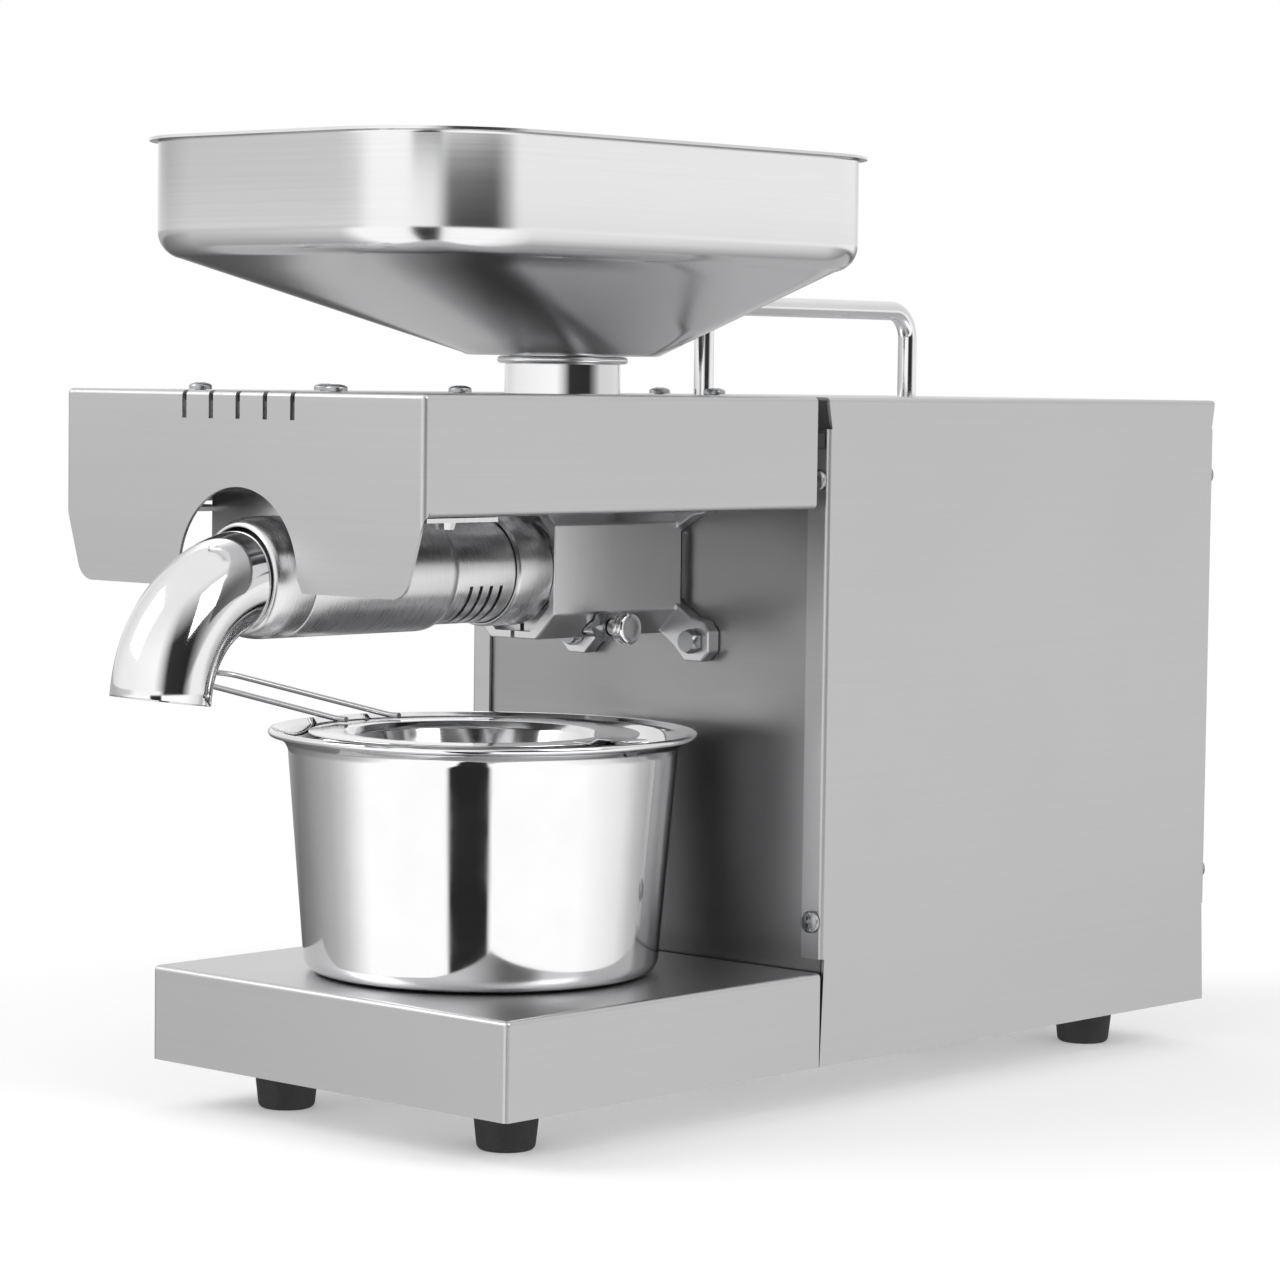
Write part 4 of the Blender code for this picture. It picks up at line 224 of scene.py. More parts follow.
def ramp(tree, source, low, high):
    """A value from 0..1 mapped to a range."""
    node = add_node(tree, "ShaderNodeMapRange", {"clamp": True}, {"Value": source, "From Min": 0.3, "From Max": 0.7,
                                                                  "To Min": low, "To Max": high})
    return node.outputs["Result"]


def shade(tree, source, colour, depth):
    """The colour with its value moved by a pattern, by a share of depth either way."""
    value = ramp(tree, source, 1.0 - depth, 1.0 + depth)
    node = add_node(tree, "ShaderNodeHueSaturation", {}, {"Value": value, "Color": linear(colour)})
    return node.outputs["Color"]


def noise(tree, vector, scale, detail=2.0):
    """A noise pattern on a vector."""
    node = add_node(tree, "ShaderNodeTexNoise", {}, {"Vector": vector, "Scale": scale, "Detail": detail})
    return node.outputs["Fac"]


def stretched(tree, scale):
    """Object coordinates scaled by axis, in patterns per metre."""
    coordinates = add_node(tree, "ShaderNodeTexCoord")
    mapping = add_node(tree, "ShaderNodeMapping", {}, {"Vector": coordinates.outputs["Object"], "Scale": scale})
    return mapping.outputs["Vector"]


def grain(tree):
    """Brushing lines: level on upright faces, along the machine on flat ones."""
    upright = noise(tree, stretched(tree, (6.0, 6.0, 1500.0)), 1.0, 3.0)
    flat = noise(tree, stretched(tree, (1500.0, 6.0, 6.0)), 1.0, 3.0)
    normal = add_node(tree, "ShaderNodeNewGeometry").outputs["Normal"]
    parts = add_node(tree, "ShaderNodeSeparateXYZ", {}, {"Vector": normal})
    level = add_node(tree, "ShaderNodeMath", {"operation": "ABSOLUTE"}, {0: parts.outputs["Z"]})
    pick = add_node(tree, "ShaderNodeMath", {"operation": "GREATER_THAN"}, {0: level.outputs[0], 1: 0.7})
    mixed = add_node(tree, "ShaderNodeMix", {"data_type": "FLOAT"}, {"Factor": pick.outputs[0]})
    tree.links.new(upright, mixed.inputs[2])
    tree.links.new(flat, mixed.inputs[3])
    return mixed.outputs[0]


def bump(tree, shader, height, distance, strength):
    """A bump on a shader."""
    node = add_node(tree, "ShaderNodeBump", {}, {"Height": height, "Distance": distance, "Strength": strength})
    tree.links.new(node.outputs["Normal"], shader.inputs["Normal"])


def brushed_stainless(name, colour, gloss, relief=0.08):
    """Cold-rolled stainless sheet, brushed in one direction: fine level lines blur its reflections."""
    made, tree, shader = new_material(name, colour, gloss, 1.0)
    lines = grain(tree)
    blotches = noise(tree, stretched(tree, (14.0, 14.0, 14.0)), 1.0, 3.0)
    tree.links.new(shade(tree, lines, colour, 0.014), shader.inputs["Base Color"])
    both = add_node(tree, "ShaderNodeMath", {"operation": "MULTIPLY_ADD"}, {0: lines, 1: 0.35})
    tree.links.new(blotches, both.inputs[2])
    rough = add_node(tree, "ShaderNodeMapRange", {}, {"Value": both.outputs[0], "From Min": 0.45, "From Max": 0.90,
                                                      "To Min": gloss - 0.02, "To Max": gloss + 0.02})
    tree.links.new(rough.outputs["Result"], shader.inputs["Roughness"])
    bump(tree, shader, lines, 0.00002, relief)
    return made


def polished_stainless(settings):
    """Mirror-polished stainless: sharp reflections with faint polishing haze."""
    made, tree, shader = new_material("polished_stainless", settings.polished, 0.07, 1.0)
    haze = noise(tree, stretched(tree, (60.0, 60.0, 60.0)), 1.0, 4.0)
    tree.links.new(ramp(tree, haze, 0.045, 0.11), shader.inputs["Roughness"])
    tree.links.new(shade(tree, haze, settings.polished, 0.02), shader.inputs["Base Color"])
    waves = noise(tree, stretched(tree, (25.0, 25.0, 25.0)), 1.0, 1.0)
    bump(tree, shader, waves, 0.0002, 0.06)
    return made


def spun_stainless(name, colour, roughness, axis):
    """Turned or spun stainless: fine rings from the lathe run around the axis."""
    made, tree, shader = new_material(name, colour, roughness, 1.0)
    scale = [25.0, 25.0, 25.0]
    scale[axis] = 2200.0
    rings = noise(tree, stretched(tree, scale), 1.0, 2.0)
    tree.links.new(ramp(tree, rings, roughness - 0.02, roughness + 0.03), shader.inputs["Roughness"])
    tree.links.new(shade(tree, rings, colour, 0.008), shader.inputs["Base Color"])
    bump(tree, shader, rings, 0.00002, 0.015)
    return made


def zinc_plated(settings):
    """Zinc-plated steel: greyish satin with a slightly cloudy passivated film."""
    made, tree, shader = new_material("zinc_plated_steel", settings.zinc, 0.30, 1.0)
    cloud = noise(tree, stretched(tree, (220.0, 220.0, 220.0)), 1.0, 3.0)
    tree.links.new(ramp(tree, cloud, 0.24, 0.38), shader.inputs["Roughness"])
    tree.links.new(shade(tree, cloud, settings.zinc, 0.06), shader.inputs["Base Color"])
    return made


def moulded_rubber(settings):
    """Moulded black rubber: dull, with a fine skin texture."""
    made, tree, shader = new_material("moulded_rubber", settings.rubber, 0.62, 0.0)
    skin = noise(tree, stretched(tree, (900.0, 900.0, 900.0)), 1.0, 3.0)
    tree.links.new(ramp(tree, skin, 0.55, 0.72), shader.inputs["Roughness"])
    tree.links.new(shade(tree, skin, settings.rubber, 0.10), shader.inputs["Base Color"])
    bump(tree, shader, skin, 0.0001, 0.35)
    return made


def moulded_plastic():
    """Moulded black nylon: satin with a fine spark-eroded texture."""
    made, tree, shader = new_material("moulded_nylon", "#19191a", 0.42, 0.0)
    skin = noise(tree, stretched(tree, (1600.0, 1600.0, 1600.0)), 1.0, 2.0)
    tree.links.new(ramp(tree, skin, 0.36, 0.50), shader.inputs["Roughness"])
    tree.links.new(shade(tree, skin, "#19191a", 0.12), shader.inputs["Base Color"])
    bump(tree, shader, skin, 0.00006, 0.25)
    return made


def cast_metal(name, colour, roughness, metallic):
    """Cast or enamelled housing: an uneven, slightly pebbled skin."""
    made, tree, shader = new_material(name, colour, roughness, metallic)
    skin = noise(tree, stretched(tree, (350.0, 350.0, 350.0)), 1.0, 4.0)
    tree.links.new(ramp(tree, skin, roughness - 0.08, roughness + 0.10), shader.inputs["Roughness"])
    tree.links.new(shade(tree, skin, colour, 0.10), shader.inputs["Base Color"])
    bump(tree, shader, skin, 0.0003, 0.30)
    return made


FINISHES = {}


def finish(slot):
    """The material of a slot, made once."""
    settings = bpy.context.scene.press_finish
    makers = {
        "brushed_stainless": lambda: brushed_stainless("brushed_stainless_sheet", settings.brushed, settings.brush_gloss),
        "hopper_sheet": lambda: brushed_stainless("pressed_hopper_stainless", settings.hopper, 0.18),
        # The bulkhead's stainless is a darker copy of the brushed sheet: its colour is painted shade of the cavity
        # under the hood.
        "bulkhead_painted_shade": lambda: brushed_stainless("bulkhead_stainless_painted_shade", settings.bulkhead, 0.30, 0.02),
        "polished_stainless": lambda: polished_stainless(settings),
        "satin_stainless": lambda: spun_stainless("turned_stainless", settings.satin, 0.28, 1),
        "drawn_wire": lambda: spun_stainless("drawn_stainless_wire", settings.wire, 0.20, 0),
        "machined_block": lambda: spun_stainless("machined_block_stainless", settings.polished, 0.34, 1),
        "spun_polished": lambda: spun_stainless("spun_polished_stainless", settings.polished, 0.10, 2),
        "black_rubber": lambda: moulded_rubber(settings),
        "zinc_plated_steel": lambda: zinc_plated(settings),
        "cast_aluminium": lambda: cast_metal("cast_aluminium", "#94969a", 0.50, 1.0),
        "motor_enamel": lambda: cast_metal("motor_enamel", "#3a3d42", 0.45, 0.0),
        "black_plastic": moulded_plastic,
        "bearing_bronze": lambda: spun_stainless("bearing_bronze", "#9a7b45", 0.35, 1),
    }
    if slot not in FINISHES:
        FINISHES[slot] = makers[slot]()
    return FINISHES[slot]


# Mesh tools

def piece(name, bm, slot, body, nodes, look=None, sharp=35.0):
    """A finished piece from a bmesh in the frame's coordinates."""
    mesh = bpy.data.meshes.new(name)
    bm.to_mesh(mesh)
    bm.free()
    made = bpy.data.objects.new(name, mesh)
    bpy.context.scene.collection.objects.link(made)
    return dress(made, slot, body, nodes, look, sharp)


def dress(made, slot, body, nodes, look=None, sharp=35.0):
    """Finish, shading, body and nodes of a piece."""
    made.data.materials.clear()
    made.data.materials.append(finish(look or slot))
    if sharp:
        made.data.shade_smooth()
        made.data.set_sharp_from_angle(angle=math.radians(sharp))
    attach(made, body)
    if nodes:
        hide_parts(*nodes)
    return made


def settle(made):
    """Turns an object with modifiers into a plain mesh."""
    bpy.context.view_layer.update()
    mesh = bpy.data.meshes.new_from_object(made.evaluated_get(bpy.context.evaluated_depsgraph_get()))
    made.modifiers.clear()
    made.data = mesh
    return made


def eased(outline, radius, steps=3):
    """A closed outline with its corners rounded."""
    points = [Vector(point) for point in outline]
    result = []
    count = len(points)
    for i, corner in enumerate(points):
        before, after = points[i - 1] - corner, points[(i + 1) % count] - corner
        on_axis = corner.x < 1e-6
        if on_axis or before.length < 1e-7 or after.length < 1e-7 or before.angle(after) > math.radians(165.0):
            result.append(tuple(corner))
            continue
        reach = min(radius, before.length * 0.45, after.length * 0.45)
        start, end = corner + before.normalized() * reach, corner + after.normalized() * reach
        for step in range(steps + 1):
            t = step / steps
            result.append(tuple(start * (1 - t) ** 2 + corner * 2 * t * (1 - t) + end * t ** 2))
    return result


def arc(centre, radius, start, end, steps):
    """Points on an arc, angles in degrees, both ends included."""
    angles = [math.radians(start + (end - start) * i / steps) for i in range(steps + 1)]
    return [(centre[0] + radius * math.cos(a), centre[1] + radius * math.sin(a)) for a in angles]


def add_lathe(bm, outline, place, steps=96):
    """A turned solid: a closed outline of radius and height, spun about the placement's Z."""
    rows = []
    for radius, height in outline:
        if radius < 1e-6:
            rows.append([bm.verts.new(place @ Vector((0.0, 0.0, height)))])
            continue
        row = []
        for i in range(steps):
            angle = 2 * math.pi * i / steps
            row.append(bm.verts.new(place @ Vector((radius * math.cos(angle), radius * math.sin(angle), height))))
        rows.append(row)
    for upper, lower in zip(rows, rows[1:] + rows[:1]):
        if len(upper) == 1 and len(lower) == 1:
            continue
        for i in range(steps):
            j = (i + 1) % steps
            corners = [upper[i % len(upper)], upper[j % len(upper)], lower[j % len(lower)], lower[i % len(lower)]]
            bm.faces.new(list(dict.fromkeys(corners)))


def lathe(name, outline, place, slot, body, nodes, look=None, ease=0.0004, steps=96, sharp=50.0):
    """A turned piece with eased corners."""
    bm = bmesh.new()
    add_lathe(bm, eased(outline, ease), place, steps)
    bmesh.ops.recalc_face_normals(bm, faces=bm.faces)
    return piece(name, bm, slot, body, nodes, look, sharp)


def add_box(bm, low, high):
    """A box between two corners."""
    low, high = Vector(low), Vector(high)
    place = Matrix.Translation((low + high) / 2) @ Matrix.Diagonal((*(high - low), 1.0))
    bmesh.ops.create_cube(bm, size=1.0, matrix=place)


def add_rod(bm, radius, depth, place, sides=48, end=None):
    """A cylinder or cone along the placement's Z, from its origin upwards."""
    centred = place @ Matrix.Translation((0.0, 0.0, depth / 2))
    bmesh.ops.create_cone(bm, cap_ends=True, segments=sides, radius1=radius, radius2=radius if end is None else end,
                          depth=depth, matrix=centred)


def cut(target, bm, operation="DIFFERENCE"):
    """Takes a shape out of a piece, or joins it."""
    mesh = bpy.data.meshes.new("tool")
    bm.to_mesh(mesh)
    bm.free()
    tool = bpy.data.objects.new("tool", mesh)
    bpy.context.scene.collection.objects.link(tool)
    step = target.modifiers.new("cut", "BOOLEAN")
    step.operation = operation
    step.solver = "EXACT"
    step.object = tool
    settle(target)
    bpy.data.objects.remove(tool, do_unlink=True)


def round_edges(made, width, steps=3, angle=30.0):
    """Rounded edges with flat faces kept flat."""
    bevel = made.modifiers.new("rounded", "BEVEL")
    bevel.width = width
    bevel.segments = steps
    bevel.limit_method = "ANGLE"
    bevel.angle_limit = math.radians(angle)
    bevel.harden_normals = False
    settle(made)


def flatten_shading(made):
    """Normals weighted by face area, so that large faces stay flat beside small folds."""
    weighted = made.modifiers.new("weighted", "WEIGHTED_NORMAL")
    weighted.keep_sharp = True
    weighted.weight = 100
    settle(made)


def folded(name, bm, thickness, fold, steps):
    """A folded sheet from an open shell of flat panels."""
    bmesh.ops.remove_doubles(bm, verts=bm.verts, dist=0.000001)
    bmesh.ops.recalc_face_normals(bm, faces=bm.faces)
    inside = sum((v.co for v in bm.verts), Vector()) / len(bm.verts)
    bm.normal_update()
    away = sum(f.normal.dot(f.calc_center_median() - inside) * f.calc_area() for f in bm.faces)
    if away < 0:
        bmesh.ops.reverse_faces(bm, faces=bm.faces)
    mesh = bpy.data.meshes.new(name)
    bm.to_mesh(mesh)
    bm.free()
    made = bpy.data.objects.new(name, mesh)
    bpy.context.scene.collection.objects.link(made)
    bevel = made.modifiers.new("folds", "BEVEL")
    bevel.width = fold
    bevel.segments = steps
    bevel.limit_method = "ANGLE"
    bevel.angle_limit = math.radians(30.0)
    wall = made.modifiers.new("wall", "SOLIDIFY")
    wall.thickness = thickness
    wall.offset = -1.0
    wall.use_even_offset = True
    return settle(made)


def quad(bm, *points):
    """A face from points, with vertices of its own."""
    return bm.faces.new([bm.verts.new(point) for point in points])


def loft(bm, rings, closed=False, caps=False):
    """Quads between rings of points."""
    rows = [[bm.verts.new(point) for point in ring] for ring in rings]
    if closed:
        rows.append(rows[0])
    for upper, lower in zip(rows, rows[1:]):
        for i in range(len(upper)):
            j = (i + 1) % len(upper)
            bm.faces.new((upper[i], upper[j], lower[j], lower[i]))
    if caps:
        bm.faces.new(reversed(rows[0]))
        bm.faces.new(rows[-1])
    bmesh.ops.recalc_face_normals(bm, faces=bm.faces)


# Geometry Nodes

def named_tree(name, sockets):
    """A Geometry Nodes tree with a geometry in and out and named inputs."""
    tree = bpy.data.node_groups.new(name, "GeometryNodeTree")
    tree.is_modifier = True
    tree.interface.new_socket("Geometry", in_out="INPUT", socket_type="NodeSocketGeometry")
    tree.interface.new_socket("Geometry", in_out="OUTPUT", socket_type="NodeSocketGeometry")
    for label, kind in sockets:
        tree.interface.new_socket(label, in_out="INPUT", socket_type=kind)
    return tree, tree.nodes.new("NodeGroupInput"), tree.nodes.new("NodeGroupOutput")


def close_tree(tree, geometry, source, target):
    """Ends a tree in realised instances with their material set."""
    solid = add_node(tree, "GeometryNodeRealizeInstances", {}, {"Geometry": geometry})
    named = add_node(tree, "GeometryNodeSetMaterial", {}, {"Geometry": solid.outputs[0], "Material": source.outputs["Finish"]})
    tree.links.new(named.outputs[0], target.inputs[0])


def run_tree(made, tree, values):
    """Runs a tree on an object and leaves a plain mesh."""
    modifier = made.modifiers.new(tree.name, "NODES")
    modifier.node_group = tree
    sockets = {item.name: item.identifier for item in tree.interface.items_tree if item.in_out == "INPUT"}
    for label, value in values.items():
        modifier[sockets[label]] = value
    return settle(made)


def copies_tree():
    """Copies of one piece on points, each turned by the point's own rotation."""
    if "placed_copies" in bpy.data.node_groups:
        return bpy.data.node_groups["placed_copies"]
    tree, source, target = named_tree("placed_copies", [("Piece", "NodeSocketObject"), ("Size", "NodeSocketFloat"),
                                                        ("Finish", "NodeSocketMaterial")])
    model = add_node(tree, "GeometryNodeObjectInfo", {"transform_space": "ORIGINAL"}, {"Object": source.outputs["Piece"]})
    turn = add_node(tree, "GeometryNodeInputNamedAttribute", {"data_type": "FLOAT_VECTOR"}, {"Name": "turn"})
    euler = add_node(tree, "FunctionNodeEulerToRotation", {}, {"Euler": turn.outputs["Attribute"]})
    placed = add_node(tree, "GeometryNodeInstanceOnPoints", {}, {
        "Points": source.outputs["Geometry"], "Instance": model.outputs["Geometry"],
        "Rotation": euler.outputs[0], "Scale": source.outputs["Size"]})
    close_tree(tree, placed.outputs[0], source, target)
    return tree


def place_copies(name, model, places, slot, body, nodes, look=None, sharp=40.0):
    """One mesh of copies of a model at the placements given. The model is removed."""
    mesh = bpy.data.meshes.new(name)
    mesh.from_pydata([place.translation for place in places], [], [])
    turns = mesh.attributes.new("turn", "FLOAT_VECTOR", "POINT")
    for item, place in zip(turns.data, places):
        item.vector = place.to_euler()
    made = bpy.data.objects.new(name, mesh)
    bpy.context.scene.collection.objects.link(made)
    run_tree(made, copies_tree(), {"Piece": model, "Size": 1.0, "Finish": finish(look or slot)})
    bpy.data.objects.remove(model, do_unlink=True)
    return dress(made, slot, body, nodes, look, sharp)


def sweep_tree():
    """A pipe: a circle swept along a straight entry, a bend and a straight tail, in the YZ plane."""
    tree, source, target = named_tree("bent_pipe", [
        ("Radius", "NodeSocketFloat"), ("Bend", "NodeSocketFloat"), ("Turn", "NodeSocketFloat"),
        ("Entry", "NodeSocketFloat"), ("Tail", "NodeSocketFloat"), ("Finish", "NodeSocketMaterial")])
    steps, sides = 72, 96

    def value(operation, first, second=0.0):
        return add_node(tree, "ShaderNodeMath", {"operation": operation}, {0: first, 1: second}).outputs[0]

    line = add_node(tree, "GeometryNodeMeshLine", {}, {"Count": steps + 2})
    index = add_node(tree, "GeometryNodeInputIndex").outputs[0]
    share = value("DIVIDE", value("SUBTRACT", index, 1.0), float(steps - 1))
    inside = value("MINIMUM", value("MAXIMUM", share, 0.0), 1.0)
    angle = value("MULTIPLY", inside, source.outputs["Turn"])
    along = value("MULTIPLY", value("SINE", angle), source.outputs["Bend"])
    down = value("MULTIPLY", value("SUBTRACT", 1.0, value("COSINE", angle)), source.outputs["Bend"])
    first = value("LESS_THAN", index, 0.5)
    last = value("GREATER_THAN", index, steps + 0.5)
    back = value("MULTIPLY", first, source.outputs["Entry"])
    tail_y = value("MULTIPLY", value("MULTIPLY", last, source.outputs["Tail"]), value("COSINE", source.outputs["Turn"]))
    tail_z = value("MULTIPLY", value("MULTIPLY", last, source.outputs["Tail"]), value("SINE", source.outputs["Turn"]))
    place = add_node(tree, "ShaderNodeCombineXYZ", {}, {
        "Y": value("SUBTRACT", back, value("ADD", along, tail_y)),
        "Z": value("SUBTRACT", 0.0, value("ADD", down, tail_z))})
    moved = add_node(tree, "GeometryNodeSetPosition", {}, {"Geometry": line.outputs[0], "Position": place.outputs[0]})
    path = add_node(tree, "GeometryNodeMeshToCurve", {}, {"Mesh": moved.outputs[0]})
    ring = add_node(tree, "GeometryNodeCurvePrimitiveCircle", {}, {"Resolution": sides, "Radius": source.outputs["Radius"]})
    pipe = add_node(tree, "GeometryNodeCurveToMesh", {}, {"Curve": path.outputs[0], "Profile Curve": ring.outputs[0]})
    close_tree(tree, pipe.outputs[0], source, target)
    return tree


def mesh_tree():
    """Woven wire in a disc: two sets of straight wires, each cut to its chord."""
    tree, source, target = named_tree("woven_disc", [
        ("Radius", "NodeSocketFloat"), ("Pitch", "NodeSocketFloat"), ("Wire", "NodeSocketFloat"),
        ("Finish", "NodeSocketMaterial")])

    def value(operation, first, second=0.0):
        return add_node(tree, "ShaderNodeMath", {"operation": operation}, {0: first, 1: second}).outputs[0]

    count = value("ADD", value("MULTIPLY", value("FLOOR", value("DIVIDE", source.outputs["Radius"], source.outputs["Pitch"])),
                               2.0), 1.0)
    half = value("MULTIPLY", value("SUBTRACT", count, 1.0), 0.5)
    line = add_node(tree, "GeometryNodeMeshLine", {}, {"Count": count})
    index = add_node(tree, "GeometryNodeInputIndex").outputs[0]
    offset = value("MULTIPLY", value("SUBTRACT", index, half), source.outputs["Pitch"])
    place = add_node(tree, "ShaderNodeCombineXYZ", {}, {"Y": offset})
    points = add_node(tree, "GeometryNodeSetPosition", {}, {"Geometry": line.outputs[0], "Position": place.outputs[0]})
    squares = value("SUBTRACT", value("MULTIPLY", source.outputs["Radius"], source.outputs["Radius"]),
                    value("MULTIPLY", offset, offset))
    chord = value("SQRT", value("MAXIMUM", squares, 0.000001))
    wire = add_node(tree, "GeometryNodeMeshCylinder", {}, {"Vertices": 8, "Radius": source.outputs["Wire"], "Depth": 2.0})
    laid = add_node(tree, "GeometryNodeTransform", {}, {"Geometry": wire.outputs[0], "Rotation": (0.0, math.pi / 2, 0.0)})
    size = add_node(tree, "ShaderNodeCombineXYZ", {}, {"X": chord, "Y": 1.0, "Z": 1.0})
    rows = add_node(tree, "GeometryNodeInstanceOnPoints", {}, {"Points": points.outputs[0], "Instance": laid.outputs[0],
                                                              "Scale": size.outputs[0]})
    lift = add_node(tree, "ShaderNodeCombineXYZ", {}, {"Z": value("MULTIPLY", source.outputs["Wire"], 1.6)})
    across = add_node(tree, "GeometryNodeTransform", {}, {"Geometry": rows.outputs[0], "Rotation": (0.0, 0.0, math.pi / 2),
                                                          "Translation": lift.outputs[0]})
    joined = add_node(tree, "GeometryNodeJoinGeometry")
    tree.links.new(rows.outputs[0], joined.inputs[0])
    tree.links.new(across.outputs[0], joined.inputs[0])
    close_tree(tree, joined.outputs[0], source, target)
    return tree


def flight_tree():
    """Press screw: a grid rolled into a core whose flight climbs with a closing pitch while the core grows."""
    tree, source, target = named_tree("press_flight", [
        ("Length", "NodeSocketFloat"), ("Flight", "NodeSocketFloat"), ("Core Start", "NodeSocketFloat"),
        ("Core End", "NodeSocketFloat"), ("Pitch Start", "NodeSocketFloat"), ("Pitch End", "NodeSocketFloat"),
        ("Finish", "NodeSocketMaterial")])
    along, around = 420, 96

    def value(operation, first, second=0.0):
        return add_node(tree, "ShaderNodeMath", {"operation": operation}, {0: first, 1: second}).outputs[0]

    def between(start, end, share):
        return value("ADD", start, value("MULTIPLY", value("SUBTRACT", end, start), share))

    grid = add_node(tree, "GeometryNodeMeshGrid", {}, {"Size X": 1.0, "Size Y": 1.0, "Vertices X": along, "Vertices Y": around + 1})
    spot = add_node(tree, "ShaderNodeSeparateXYZ", {}, {"Vector": add_node(tree, "GeometryNodeInputPosition").outputs[0]})
    share = value("ADD", spot.outputs["X"], 0.5)
    angle = value("MULTIPLY", value("ADD", spot.outputs["Y"], 0.5), 2 * math.pi)
    start, end = source.outputs["Pitch Start"], source.outputs["Pitch End"]
    closing = value("DIVIDE", value("SUBTRACT", start, end), source.outputs["Length"])
    pitch = between(start, end, share)
    turns = value("DIVIDE", value("LOGARITHM", value("DIVIDE", start, pitch), math.e), closing)
    phase = value("ADD", angle, value("MULTIPLY", turns, 2 * math.pi))
    crest = add_node(tree, "ShaderNodeMapRange", {"interpolation_type": "SMOOTHSTEP"}, {
        "Value": value("COSINE", phase), "From Min": math.cos(math.radians(31.0)), "From Max": math.cos(math.radians(12.0)),
        "To Min": 0.0, "To Max": 1.0}).outputs["Result"]
    fade = value("MINIMUM", value("MULTIPLY", share, 40.0), value("MULTIPLY", value("SUBTRACT", 1.0, share), 40.0))
    rise = value("MULTIPLY", crest, value("MINIMUM", fade, 1.0))
    core = between(source.outputs["Core Start"], source.outputs["Core End"], share)
    radius = between(core, source.outputs["Flight"], rise)
    place = add_node(tree, "ShaderNodeCombineXYZ", {}, {
        "X": value("MULTIPLY", radius, value("COSINE", angle)),
        "Y": value("MULTIPLY", share, value("MULTIPLY", source.outputs["Length"], -1.0)),
        "Z": value("MULTIPLY", radius, value("SINE", angle))})
    rolled = add_node(tree, "GeometryNodeSetPosition", {}, {"Geometry": grid.outputs["Mesh"], "Position": place.outputs[0]})
    merged = add_node(tree, "GeometryNodeMergeByDistance", {}, {"Geometry": rolled.outputs[0], "Distance": 0.000005})
    close_tree(tree, merged.outputs[0], source, target)
    return tree


# Pieces

